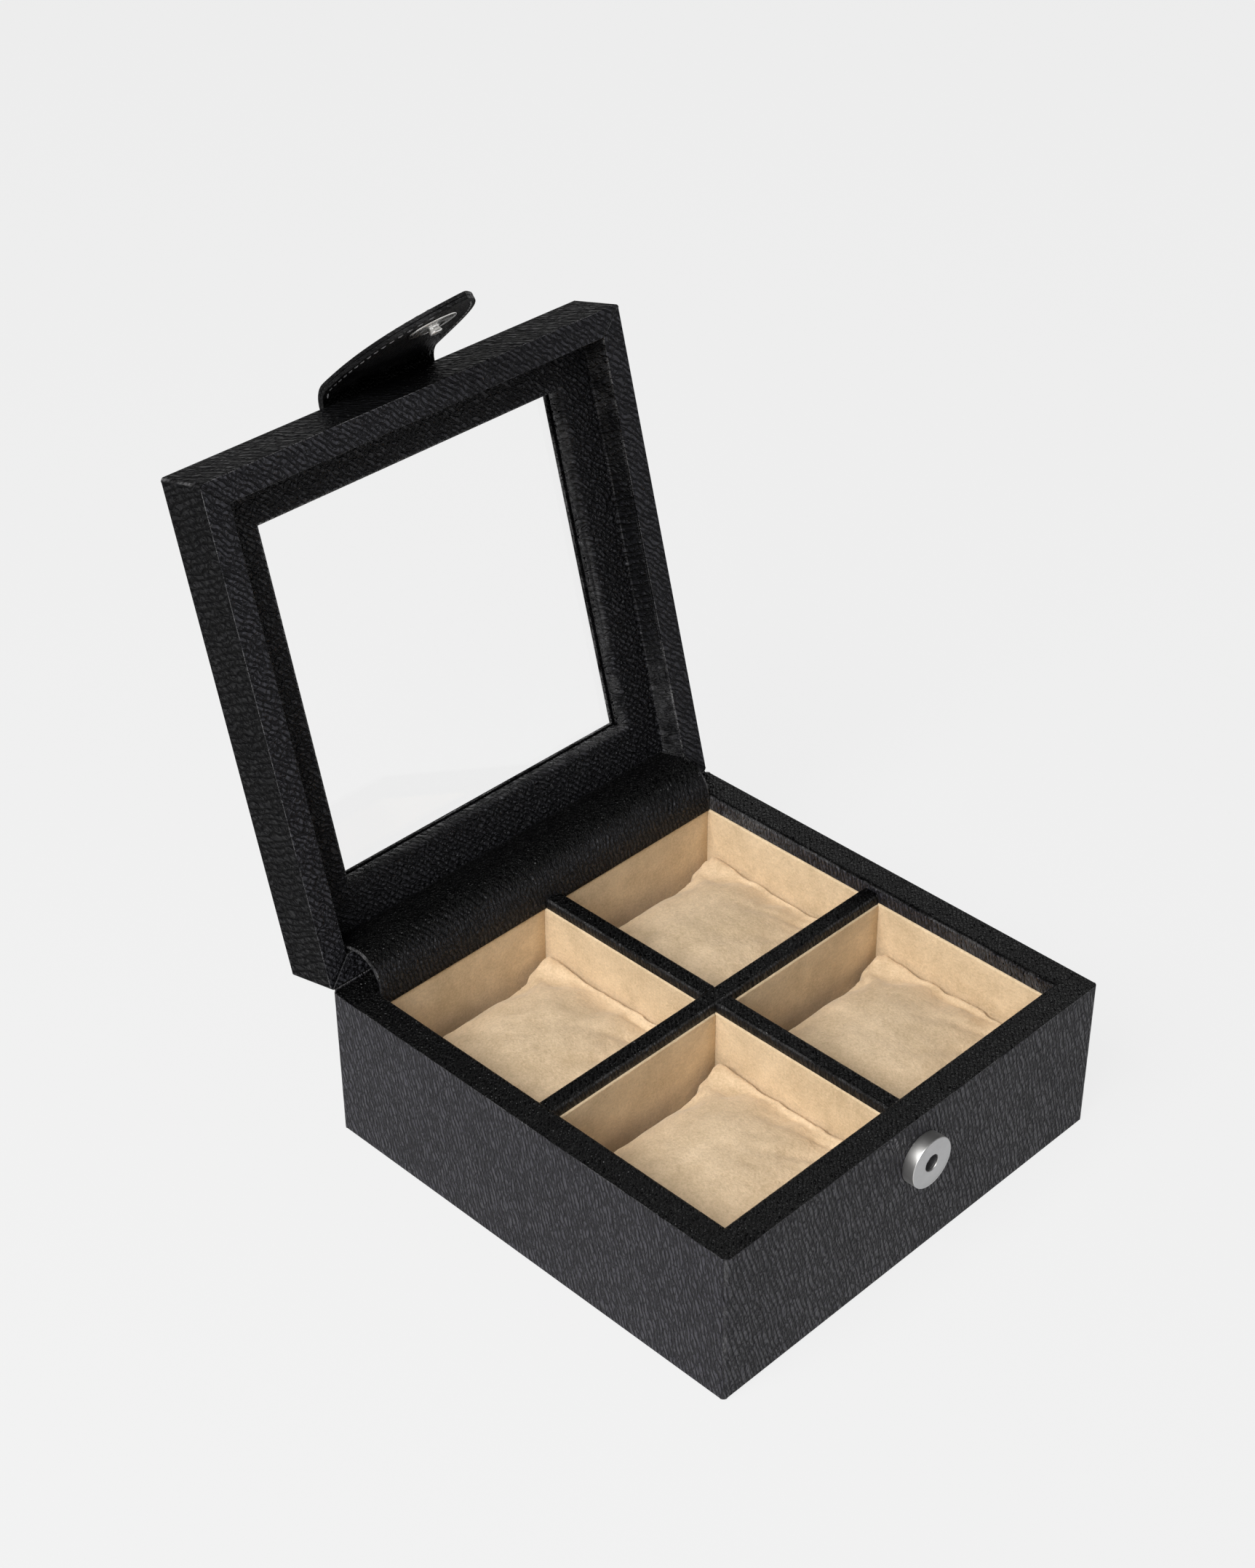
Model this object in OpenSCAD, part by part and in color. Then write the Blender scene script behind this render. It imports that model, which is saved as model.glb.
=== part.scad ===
// Watch box with four cushions, a window in the lid and a snap tab.
// Millimetres. The origin is the centre of the base's underside: +X to the
// right, +Y to the rear (hinge side), +Z up. The lid stands open.

/* [Box] */
// Width of the box, side to side
box_w = 175; // [160:1:220]
// Depth of the box, front to back
box_d = 173; // [160:1:220]
// Height of the base, from the table to its rim
base_h = 58; // [54:1:75]
// Radius of the upright corners
corner_r = 2; // [1:0.5:4]
// Thickness of the leather skin
leather_t = 1; // [0.8:0.1:1.2]
// Thickness of the wall boards of the base
board_t = 8.5; // [7:0.5:9]
// Thickness of the bottom board
floor_t = 3; // [2.5:0.5:4]
// Thickness of the felt under the base
felt_t = 0.8; // [0.6:0.1:1.5]

/* [Compartments] */
// Thickness of the leather-covered dividers
divider_t = 6.5; // [5:0.5:8]
// How far the dividers end below the rim
divider_drop = 2.3; // [1.5:0.1:4]
// Depth of the leather band between the rim and the lining
band_h = 6; // [5:0.5:9]
// Thickness of the lining panels
liner_t = 1.6; // [1.2:0.1:2]
// Height of a cushion
cushion_h = 30; // [24:1:34]
// Gap between a cushion and the lining round it
cushion_gap = 0.8; // [0.5:0.1:1.5]
// Radius of a cushion's rounded sides
cushion_r = 11; // [8:1:13]
// Thickness of a cushion's cover
cushion_cover_t = 1.2; // [0.8:0.1:1.6]

/* [Lid] */
// Height of the lid, from its rim to its top
lid_h = 20.5; // [19:0.5:26]
// Width of the lid's rim
lid_rim_w = 9.2; // [9:0.1:11]
// Depth of the recess inside the lid
lid_recess = 10.2; // [9.5:0.1:11]
// Width of the clear window
window_w = 126.9; // [110:0.1:135]
// Distance from the rear face to the window
window_rear = 25.8; // [22:0.1:30]
// Distance from the rear face to the window's far edge
window_front = 149.5; // [130:0.1:150]
// Thickness of the glass
glass_t = 2; // [1.5:0.5:3]
// How far the glass reaches under the frame all round
glass_lap = 4; // [3:0.5:6]
// Angle of the open lid from the closed position
lid_open = 104.4; // [90:0.1:110]
// Gap between the rims when the lid is closed
rim_gap = 0.4; // [0.3:0.1:0.6]

/* [Hinges] */
// Distance between the centres of the two hinges
hinge_spacing = 96; // [60:1:110]
// Width of a hinge
hinge_w = 28; // [20:1:36]
// Radius of a hinge's barrel
barrel_r = 1.8; // [1.6:0.1:2]
// Radius of a hinge's pin
pin_r = 0.8; // [0.7:0.05:0.9]
// Thickness of a hinge's leaves
leaf_t = 0.8; // [0.6:0.1:0.9]

/* [Tab and snap] */
// Width of the tab where it leaves the lid
tab_w = 47; // [42:1:54]
// Thickness of each of the tab's two layers of leather
tab_layer_t = 1.25; // [1.1:0.05:1.4]
// Radius of the bend where the tab leaves the lid
tab_bend_r = 6.8; // [6:0.1:8]
// Angle of the tab just past that bend, from its hanging direction
tab_lift = 30; // [28:1:32]
// Angle of the tab at its tip, from its hanging direction
tab_tip_lift = 24; // [22:1:26]
// Length of the tab past its bend
tab_reach = 56; // [50:1:60]
// Distance from the bend to the snap's centre
tab_snap_at = 33.5; // [30:0.5:36]
// Diameter of the snap
snap_d = 18; // [16:0.5:20]
// How far the snap's socket stands out of the front
snap_out = 4.6; // [3.6:0.1:5]

/* [Hidden] */
$fn = 64;
eps = 0.01;                    // overlap of cutters past a face

leather_black = [0.09, 0.09, 0.1];
suede_beige = [0.85, 0.74, 0.56];
board_grey = [0.62, 0.5, 0.36];
nickel = [0.75, 0.75, 0.76];

half_w = box_w / 2;
half_d = box_d / 2;
rim_w = leather_t + board_t + leather_t;            // base rim, skin to skin
floor_z = felt_t + floor_t;                         // top of the bottom board
board_z = felt_t + leather_t;                       // foot of the wall boards
board_top = base_h - leather_t;
liner_top = base_h - band_h;
core_t = divider_t - 2 * leather_t;                 // wood inside a divider
room_x = half_w - leather_t - board_t;              // inner face of the side boards
room_y = half_d - leather_t - board_t;              // inner face of the end boards
band_x = half_w - rim_w;                            // inner face of the leather band
band_y = half_d - rim_w;
divider_top = base_h - divider_drop;
cell_w = room_x - core_t / 2;                       // outside size of a liner
cell_d = room_y - core_t / 2;
cell_x = core_t / 2 + cell_w / 2;                   // centre of a compartment
cell_y = core_t / 2 + cell_d / 2;
cushion_w = cell_w - 2 * liner_t - 2 * cushion_gap;
cushion_d = cell_d - 2 * liner_t - 2 * cushion_gap;
cushion_z = floor_z + liner_t + 0.3;                // underside of a cushion

lid_z = base_h + rim_gap;                           // lid's rim while closed
rail_t = lid_rim_w - 2 * leather_t;
lid_room_x = half_w - leather_t - rail_t;           // inner face of the lid's rails
lid_room_y = half_d - leather_t - rail_t;
lid_board_x = half_w - leather_t;                   // outer face of the lid's rails
lid_board_y = half_d - leather_t;
inner_board_z = lid_recess + leather_t;             // underside of the inner frame
pane_z = lid_h - 2.6 - glass_t;                     // underside of the glass
window_d = window_front - window_rear;
window_y = half_d - (window_rear + window_front) / 2;

hinge_z = base_h + rim_gap / 2;                     // hinge axis, at y = half_d
notch_r = barrel_r + 0.45;                          // room round a barrel
leaf_l = 8.4;                                       // reach of a leaf from the axis
knuckle_w = 8.8;                                    // each outer knuckle
knuckle_gap = 0.25;
screw_r = 1.1;
screw_head_r = 1.95;
screw_l = 8;
screw_x = 8;                                        // screws either side of a hinge's middle
screw_y = half_d - 5.4;

strip_t = 1;                                        // leather strip that hides the hinges
strip_x = band_x - 0.4;
strip_r = 10.8;                                     // outside of its bulge, which clears both rims
strip_side = [cos(180 - lid_open), sin(180 - lid_open)];  // square to the open lid's rear wall
strip_end_v = lid_rim_w + 0.3 + strip_t;            // its far side from the lid's rear face
strip_c_y = band_y - strip_t + strip_r;             // centre of its bulge
strip_c_z = hinge_z + (strip_end_v - strip_r - (strip_c_y - half_d) * strip_side[0]) / strip_side[1];
strip_way = [strip_side[1], -strip_side[0]];        // along that wall, from the rim inwards
// its straight end, from the bulge to just short of the lid's flange
strip_end_l = lid_recess - 0.2 + rim_gap / 2 + (strip_c_z - hinge_z) * strip_side[0] - (strip_c_y - half_d) * strip_side[1];

tab_t = 2 * tab_layer_t;
tab_root_l = 13;                                    // part sewn on the lid's top
tab_start_y = -half_d;                              // where the bend starts
tab_swing = 25.6;                                   // from its rest to the closed snap
bend_l = tab_bend_r * (90 - tab_lift) * PI / 180;
tab_l = bend_l + tab_reach;
reach_r = tab_reach / ((tab_lift - tab_tip_lift) * PI / 180);
stitch_inset = 2.2;
stitch_pitch = 3.4;
stitch_l = 2.3;
stitch_w = 0.5;
stitch_t = 0.3;                                     // how far a stitch stands off the leather

snap_r = snap_d / 2;
socket_r = 3;                                       // hole in the socket's face
stud_r = 2.3;
stud_l = 2.2;
snap_plate_t = 0.9;
plate_gap = pow(snap_r - 0.5, 2) / (2 * reach_r) + 0.01;  // the bowed leather's rise at the plate's edge
leg_x = 4.5;                                        // legs either side of the middle
leg_w = 3;
leg_t = 0.6;
foot_l = 2.6;                                       // legs' ends, bent over the washer
washer_t = 0.9;

// ---------- shapes ----------

module span(low, high) translate(low) cube(high - low);

module plate(w, d, z0, z1)
    translate([-w / 2, -d / 2, z0]) cube([w, d, z1 - z0]);

module rounded_rect(w, d, r) {
    square([w - 2 * r, d], center = true);
    square([w, d - 2 * r], center = true);
    for (sx = [-1, 1], sy = [-1, 1])
        translate([sx * (w / 2 - r), sy * (d / 2 - r)]) circle(r);
}

module slab(w, d, r, z0, z1)
    translate([0, 0, z0]) linear_extrude(z1 - z0) rounded_rect(w, d, r);

// bar along X, centred on x = 0, with its axis at (y, z)
module bar_x(r, l, y, z)
    translate([-l / 2, y, z]) rotate([0, 90, 0]) cylinder(r = r, h = l);

// ring sector in the drawing plane, between two angles less than 115 apart
module sector(r0, r1, a0, a1) intersection() {
    difference() {
        circle(r1, $fn = 180);
        circle(r0, $fn = 180);
    }
    polygon([[0, 0], 2 * r1 * [cos(a0), sin(a0)], 2 * r1 * [cos(a1), sin(a1)]]);
}

// stands a closed lid's frame, with its rim at z = 0, in the open place
module open_lid()
    translate([0, half_d, hinge_z]) rotate([-lid_open, 0, 0])
        translate([0, -half_d, lid_z - hinge_z]) children();

// ---------- base ----------

module base_felt() color([0.12, 0.12, 0.13])
    slab(box_w - 6, box_d - 6, corner_r, 0, felt_t);

module base_floor_board() color(board_grey)
    plate(2 * room_x, 2 * room_y, felt_t, floor_z);

// a side of the base: the front board, and the rear one before its hinges
module end_board()
    span([-room_x - board_t, room_y, board_z], [room_x + board_t, room_y + board_t, board_top]);

module base_front_board() color(board_grey) difference() {
    mirror([0, 1, 0]) end_board();
    on_front() {
        leg_slots();
        translate([0, 0, -leather_t - board_t - eps]) cylinder(r = snap_r - 0.8, h = 1.5 + eps);
    }
}

module base_rear_board() color(board_grey) difference() {
    end_board();
    at_hinges() barrel_room(hinge_z);
    at_screws() translate([0, 0, board_top - screw_l]) cylinder(r = screw_r + 0.05, h = screw_l + 1);
}

module base_right_board() color(board_grey)
    span([room_x, -room_y, board_z], [room_x + board_t, room_y, board_top]);
module base_left_board() mirror([1, 0, 0]) base_right_board();

// leather skin: outside, rim, the band inside the rim, and turned under
module base_cover() color(leather_black) difference() {
    slab(box_w, box_d, corner_r, felt_t, base_h);
    difference() {
        plate(2 * (room_x + board_t), 2 * (room_y + board_t), board_z, board_top);
        plate(2 * room_x, 2 * room_y, 0, base_h);
    }
    plate(2 * band_x, 2 * band_y, 0, base_h + 1);
    plate(2 * room_x, 2 * room_y, 0, liner_top);
    on_front() leg_slots();
    at_hinges() {
        barrel_room(hinge_z);
        leaf_room(board_top, base_h + 1);
    }
}

// ---------- dividers and linings ----------

// a divider's board along X, shorter above the linings, where the band is
module divider_board(low_l, high_l) {
    plate(2 * low_l, core_t, floor_z, liner_top);
    plate(2 * high_l, core_t, liner_top, divider_top - leather_t);
}
lap_z = (floor_z + divider_top) / 2;                // the two boards are half-lapped

module long_divider() color(board_grey) difference() {
    divider_board(room_x, band_x);
    plate(core_t, core_t + 1, lap_z, divider_top);
}

module cross_divider() color(board_grey) difference() {
    rotate(90) divider_board(room_y, band_y - strip_t);
    plate(core_t + 1, core_t, 0, lap_z);
}

module divider_cover() color(leather_black) difference() {
    union() {
        plate(2 * band_x, divider_t, liner_top, divider_top);
        plate(divider_t, 2 * (band_y - strip_t), liner_top, divider_top);
        // the front end has no strip to clear
        span([-divider_t / 2, -band_y, liner_top], [divider_t / 2, 0, divider_top]);
    }
    plate(2 * room_x, core_t, 0, divider_top - leather_t);
    plate(core_t, 2 * (band_y - strip_t), 0, divider_top - leather_t);
}

module liner(sx, sy) color(suede_beige) translate([sx * cell_x, sy * cell_y, 0]) difference() {
    plate(cell_w, cell_d, floor_z, liner_top);
    plate(cell_w - 2 * liner_t, cell_d - 2 * liner_t, floor_z + liner_t, liner_top + 1);
}

// ---------- cushions ----------

// block with rounded sides, on the floor of a compartment
module pad(sx, sy, inset) translate([sx * cell_x, sy * cell_y, cushion_z + cushion_h / 2]) {
    w = cushion_w - 2 * inset;
    d = cushion_d - 2 * inset;
    h = cushion_h - 2 * inset;
    r = cushion_r - inset;
    intersection() {
        translate([0, d / 2, 0]) rotate([90, 0, 0]) linear_extrude(d) rounded_rect(w, h, r);
        translate([-w / 2, 0, 0]) rotate([90, 0, 90]) linear_extrude(w) rounded_rect(d, h, r);
    }
}
module cushion(sx, sy) color(suede_beige) difference() {
    pad(sx, sy, 0);
    pad(sx, sy, cushion_cover_t);
}
module filling(sx, sy) color([0.93, 0.92, 0.88]) pad(sx, sy, cushion_cover_t);

// ---------- snap on the base ----------

// the base's front face as a drawing plane, with +Z out of it
module on_front() translate([0, -half_d, snap_z]) rotate([90, 0, 0]) children();

module leg_slots()
    for (s = [-1, 1])
        span([s * leg_x - leg_t / 2 - 0.1, -leg_w / 2 - 0.1, -leather_t - board_t - eps],
             [s * leg_x + leg_t / 2 + 0.1, leg_w / 2 + 0.1, eps]);

module snap_socket_cup() color(nickel) on_front() difference() {
    cylinder(r = snap_r, h = snap_out);
    translate([0, 0, -eps]) cylinder(r = snap_r - 0.6, h = snap_out - 0.6 + eps);
    cylinder(r = socket_r, h = snap_out + 1);
}

module snap_magnet() color([0.2, 0.2, 0.21]) on_front() difference() {
    translate([0, 0, 1]) cylinder(r = snap_r - 0.65, h = snap_out - 1.6);
    cylinder(r = socket_r, h = snap_out);
}

module snap_socket_plate() color(nickel) on_front() {
    cylinder(r = snap_r - 0.65, h = 1);
    cylinder(r = 1.7, h = 1.8);
    foot_z = -leather_t - board_t + 0.1;
    for (s = [-1, 1]) {
        span([s * leg_x - leg_t / 2, -leg_w / 2, foot_z], [s * leg_x + leg_t / 2, leg_w / 2, eps]);
        span([s * (leg_x + foot_l / 2) - foot_l / 2, -leg_w / 2, foot_z],
             [s * (leg_x + foot_l / 2) + foot_l / 2, leg_w / 2, foot_z + 0.4]);
    }
}

module snap_socket_washer() color(nickel) on_front() difference() {
    translate([0, 0, -leather_t - board_t + 1.5 - washer_t]) cylinder(r = snap_r - 0.9, h = washer_t);
    leg_slots();
}

// ---------- hinges ----------

module at_hinges() for (s = [-1, 1]) translate([s * hinge_spacing / 2, 0, 0]) children();
module at_screws() at_hinges()
    for (s = [-1, 1]) translate([s * screw_x, screw_y, 0]) children();
module barrel_room(z) bar_x(notch_r, hinge_w + 0.6, half_d, z);
module leaf_room(z0, z1)
    span([-hinge_w / 2 - 0.1, half_d - leaf_l - 0.1, z0], [hinge_w / 2 + 0.1, half_d + 1, z1]);

// knuckle with the neck that joins it to a leaf lying at z
module knuckle(w, z) {
    bar_x(barrel_r, w, half_d, hinge_z);
    span([-w / 2, half_d - notch_r - 0.2, z], [w / 2, half_d - pin_r, z + leaf_t]);
}
module leaf_plate(z)
    span([-hinge_w / 2, half_d - leaf_l, z], [hinge_w / 2, half_d - notch_r, z + leaf_t]);

module hinge_base_leaves() color(nickel) difference() {
    at_hinges() {
        leaf_plate(board_top);
        for (s = [-1, 1]) translate([s * (hinge_w - knuckle_w) / 2, 0, 0]) knuckle(knuckle_w, board_top);
    }
    at_hinges() bar_x(pin_r, hinge_w + 2, half_d, hinge_z);
    at_screws() translate([0, 0, board_top - 1]) cylinder(r = screw_head_r + 0.05, h = leaf_t + 2);
}

// the lid's leaves lie in its rim, drawn while the lid is closed
lid_leaf_z = lid_z + leather_t - leaf_t;
module hinge_lid_leaves() color(nickel) open_lid() translate([0, 0, -lid_z]) difference() {
    at_hinges() {
        leaf_plate(lid_leaf_z);
        knuckle(hinge_w - 2 * (knuckle_w + knuckle_gap), lid_leaf_z);
    }
    at_hinges() bar_x(pin_r + 0.05, hinge_w + 2, half_d, hinge_z);
    at_screws() translate([0, 0, lid_leaf_z - 1]) cylinder(r = screw_head_r + 0.05, h = leaf_t + 2);
}

module hinge_pins() color(nickel) at_hinges() bar_x(pin_r, hinge_w, half_d, hinge_z);

module screw() {
    cylinder(r = screw_head_r, h = leaf_t);
    translate([0, 0, -screw_l]) cylinder(r = screw_r, h = screw_l);
}
module hinge_base_screws() color(nickel) at_screws() translate([0, 0, board_top]) screw();
module hinge_lid_screws() color(nickel) open_lid() at_screws()
    translate([0, 0, leather_t]) mirror([0, 0, 1]) screw();

// the area inside the hinge strip's curve, for one of its two faces
module inside_strip(r) {
    circle(r, $fn = 180);
    translate([-r, -2 * strip_r]) square([r, 2 * strip_r]);
    rotate(-lid_open) translate([-r, 0]) square([r, 2 * strip_r]);
}

// strip of leather over the hinges, from the lid's rear inner wall over the
// open corner between the rims to the band of the base
module hinge_strip() color(leather_black)
    translate([-strip_x, strip_c_y, strip_c_z]) rotate([90, 0, 90]) linear_extrude(2 * strip_x) difference() {
        intersection() {
            inside_strip(strip_r);
            polygon([[-2 * strip_r, liner_top - strip_c_z], [-strip_r / 2, liner_top - strip_c_z],
                     strip_r / 2 * strip_side + strip_end_l * strip_way,
                     2 * strip_r * strip_side + strip_end_l * strip_way, [-2 * strip_r, 2 * strip_r]]);
        }
        inside_strip(strip_r - strip_t);
    }

// ---------- lid ----------

module lid_end_rail()
    span([-lid_board_x, lid_room_y, leather_t], [lid_board_x, lid_board_y, inner_board_z]);
module lid_front_rail() color(board_grey) open_lid() mirror([0, 1, 0]) lid_end_rail();
module lid_rear_rail() color(board_grey) open_lid() difference() {
    lid_end_rail();
    at_hinges() barrel_room(-rim_gap / 2);
    at_screws() cylinder(r = screw_r + 0.05, h = leather_t + screw_l);
}
module lid_right_rail() color(board_grey) open_lid()
    span([lid_room_x, -lid_room_y, leather_t], [lid_board_x, lid_room_y, inner_board_z]);
module lid_left_rail() color(board_grey) open_lid()
    span([-lid_board_x, -lid_room_y, leather_t], [-lid_room_x, lid_room_y, inner_board_z]);

// block the size of the window, grown all round
module window_block(grow, z0, z1)
    translate([0, window_y, 0]) plate(window_w + 2 * grow, window_d + 2 * grow, z0, z1);

module lid_outer_frame() color(board_grey) open_lid() difference() {
    plate(2 * lid_board_x, 2 * lid_board_y, pane_z, lid_h - leather_t);
    window_block(glass_lap, pane_z - 1, pane_z + glass_t);
    window_block(leather_t, pane_z, lid_h);
}

module lid_inner_frame() color(board_grey) open_lid() difference() {
    plate(2 * lid_board_x, 2 * lid_board_y, inner_board_z, pane_z);
    window_block(leather_t, 0, lid_h);
}

module window_glass() color([0.8, 0.87, 0.88, 0.3]) open_lid()
    window_block(glass_lap, pane_z, pane_z + glass_t);

// leather skin: top, outside, rim, and turned in round the glass
module lid_cover() color(leather_black) open_lid() difference() {
    union() {
        difference() {
            slab(box_w, box_d, corner_r, 0, lid_h);
            plate(2 * lid_board_x, 2 * lid_board_y, leather_t, lid_h - leather_t);
            plate(2 * lid_room_x, 2 * lid_room_y, -1, lid_h / 2);
        }
        window_block(leather_t, pane_z + glass_t, lid_h);
    }
    window_block(0, 0, lid_h + 1);
    at_hinges() {
        barrel_room(-rim_gap / 2);
        leaf_room(-1, leather_t);
    }
}

// leather inside the lid: its walls, the frame's face and round the window
module lid_lining() color(leather_black) open_lid() difference() {
    union() {
        plate(2 * lid_room_x, 2 * lid_room_y, 0, inner_board_z);
        window_block(leather_t, 0, pane_z);
    }
    plate(2 * (half_w - lid_rim_w), 2 * (half_d - lid_rim_w), -1, lid_recess);
    window_block(0, -1, pane_z + 1);
    at_hinges() leaf_room(-1, leather_t);
}

// ---------- tab ----------

// The tab's path in the closed lid's frame, seen from the side: u runs
// forwards from the front edge, v up from the lid's top. It bends down with
// tab_bend_r, then runs to the tip in a wide arc. The path is the tab's
// inner face, and the leather lies outside it.
function out_dir(a) = [cos(a), sin(a)];
function lift_at(s) = tab_lift - (tab_lift - tab_tip_lift) * s / tab_reach;
bend_c = [0, -tab_bend_r];
bend_end = bend_c + tab_bend_r * out_dir(tab_lift);
reach_c = bend_end - reach_r * out_dir(tab_lift);
function reach_at(s) = reach_c + reach_r * out_dir(lift_at(s));

// half the tab's width at a distance s from the start of the bend
function half_at(s) = tab_w / 2 * pow(max(0, 1 - pow(s / tab_l, 2.9)), 0.92);

// the tab turns about the middle of its bend, where the leather flexes
tab_axis = bend_c + tab_bend_r * out_dir((90 + tab_lift) / 2);
function swung(p) = tab_axis + [
    (p - tab_axis) * [cos(tab_swing), sin(tab_swing)],
    (p - tab_axis) * [-sin(tab_swing), cos(tab_swing)]];
stud_at = swung(reach_at(tab_snap_at) - (snap_plate_t + stud_l / 2) * out_dir(lift_at(tab_snap_at)));
snap_z = lid_z + lid_h + stud_at[1];                // the socket is where the stud lands

// a place on the inner face, with +Z out of the outer face and +Y to the root
module at_path(s) {
    p = reach_at(s);
    translate([0, tab_start_y - p[0], lid_h + p[1]]) rotate([90 - lift_at(s), 0, 0]) children();
}

// turns a side view in u and v into a solid across the whole width
module across() translate([tab_w, tab_start_y, lid_h]) rotate([90, 0, -90])
    linear_extrude(2 * tab_w) children();

// outline of the tongue seen square to its reach, from the bend's end to the tip
module tongue_outline() {
    steps = 28;
    edge = [for (i = [0 : steps]) let (s = bend_l + tab_reach * i / steps) [half_at(s), bend_l - s]];
    polygon(concat(edge, [for (i = [steps : -1 : 0]) [-edge[i][0], edge[i][1]]]));
}

module tongue_layer(d0, d1) intersection() {
    across() translate(reach_c) sector(reach_r + d0, reach_r + d1, tab_tip_lift - 1, tab_lift);
    translate([0, tab_start_y - bend_end[0], lid_h + bend_end[1]])
        rotate([90 - (tab_lift + tab_tip_lift) / 2, 0, 0])
            translate([0, 0, -20]) linear_extrude(40) tongue_outline();
}

module tab_root() color(leather_black) open_lid() {
    span([-tab_w / 2, tab_start_y, lid_h], [tab_w / 2, tab_start_y + tab_root_l, lid_h + tab_t]);
    intersection() {
        across() translate(bend_c) sector(tab_bend_r, tab_bend_r + tab_t, tab_lift, 90);
        span([-tab_w / 2, -box_d, 0], [tab_w / 2, 0, 2 * lid_h]);
    }
}

module tab_outer_leather() color(leather_black) open_lid() tongue_layer(tab_layer_t, tab_t);

washer_seat = 0.5;
module tab_lining_leather() color([0.13, 0.13, 0.14]) open_lid() difference() {
    tongue_layer(0, tab_layer_t);
    at_path(tab_snap_at) {
        translate([0, 0, -1]) cylinder(r = 1.3, h = 4);
        translate([0, 0, tab_layer_t - washer_seat]) cylinder(r = 6.05, h = 2);
    }
}

// one row of stitches along each side and across the root
module tab_stitching() color([0.32, 0.32, 0.33]) open_lid()
    for (side = [-1, 1], s = [stitch_pitch : stitch_pitch : tab_reach - 5]) {
        slope = (half_at(bend_l + s + 0.5) - half_at(bend_l + s - 0.5));
        at_path(s) translate([side * (half_at(bend_l + s) - stitch_inset), 0, -stitch_t])
            rotate(side * atan(slope)) translate([-stitch_w / 2, -stitch_l / 2, 0]) cube([stitch_w, stitch_l, stitch_t]);
    }

module tab_snap_plate() color(nickel) open_lid() at_path(tab_snap_at) difference() {
    translate([0, 0, -plate_gap - snap_plate_t]) cylinder(r = snap_r - 0.5, h = snap_plate_t);
    translate([0, 0, -2]) cylinder(r = 1.25, h = 4);
}
module tab_snap_stud() color(nickel) open_lid() at_path(tab_snap_at) {
    translate([0, 0, -plate_gap - snap_plate_t - stud_l]) cylinder(r = stud_r, h = stud_l);
    translate([0, 0, -plate_gap - snap_plate_t]) cylinder(r = 1.2, h = plate_gap + snap_plate_t + tab_layer_t - washer_seat);
}
module tab_snap_washer() color(nickel) open_lid() at_path(tab_snap_at)
    translate([0, 0, tab_layer_t - washer_seat]) cylinder(r = 6, h = washer_seat - 0.08);

base_felt();
base_floor_board();
base_front_board();
base_rear_board();
base_left_board();
base_right_board();
base_cover();
long_divider();
cross_divider();
divider_cover();
liner(-1, -1);  // liner_front_left
liner(1, -1);  // liner_front_right
liner(-1, 1);  // liner_rear_left
liner(1, 1);  // liner_rear_right
cushion(-1, -1);  // cushion_front_left
cushion(1, -1);  // cushion_front_right
cushion(-1, 1);  // cushion_rear_left
cushion(1, 1);  // cushion_rear_right
filling(-1, -1);  // filling_front_left
filling(1, -1);  // filling_front_right
filling(-1, 1);  // filling_rear_left
filling(1, 1);  // filling_rear_right
snap_socket_cup();
snap_magnet();
snap_socket_plate();
snap_socket_washer();
hinge_base_leaves();
hinge_lid_leaves();
hinge_pins();
hinge_base_screws();
hinge_lid_screws();
hinge_strip();
lid_front_rail();
lid_rear_rail();
lid_left_rail();
lid_right_rail();
lid_outer_frame();
lid_inner_frame();
window_glass();
lid_cover();
lid_lining();
tab_root();
tab_outer_leather();
tab_lining_leather();
tab_stitching();
tab_snap_plate();
tab_snap_stud();
tab_snap_washer();
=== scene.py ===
# Watch box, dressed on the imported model: leather skins, suede linings and pillows, the snap tab, the snap
# and the hinges. Lengths in the helpers are millimetres until as_object() makes them metres.
import math

import bmesh
import bpy
from mathutils import Matrix, Vector, noise


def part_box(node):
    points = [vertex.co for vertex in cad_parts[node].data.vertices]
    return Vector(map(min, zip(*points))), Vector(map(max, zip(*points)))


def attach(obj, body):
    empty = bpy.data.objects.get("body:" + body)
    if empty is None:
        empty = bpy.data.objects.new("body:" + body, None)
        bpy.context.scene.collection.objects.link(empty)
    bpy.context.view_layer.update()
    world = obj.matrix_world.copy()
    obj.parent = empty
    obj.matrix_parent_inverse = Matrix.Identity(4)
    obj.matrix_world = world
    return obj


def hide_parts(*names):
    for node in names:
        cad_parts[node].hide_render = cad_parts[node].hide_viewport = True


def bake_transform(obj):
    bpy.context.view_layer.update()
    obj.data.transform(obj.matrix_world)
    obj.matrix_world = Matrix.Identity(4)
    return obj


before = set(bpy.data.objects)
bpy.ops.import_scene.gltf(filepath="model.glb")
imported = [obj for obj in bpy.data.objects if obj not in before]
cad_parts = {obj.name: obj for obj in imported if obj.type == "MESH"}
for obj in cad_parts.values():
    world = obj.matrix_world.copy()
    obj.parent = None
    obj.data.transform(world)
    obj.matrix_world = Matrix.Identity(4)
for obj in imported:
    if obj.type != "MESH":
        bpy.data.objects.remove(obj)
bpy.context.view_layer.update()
MM = 0.001

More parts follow.
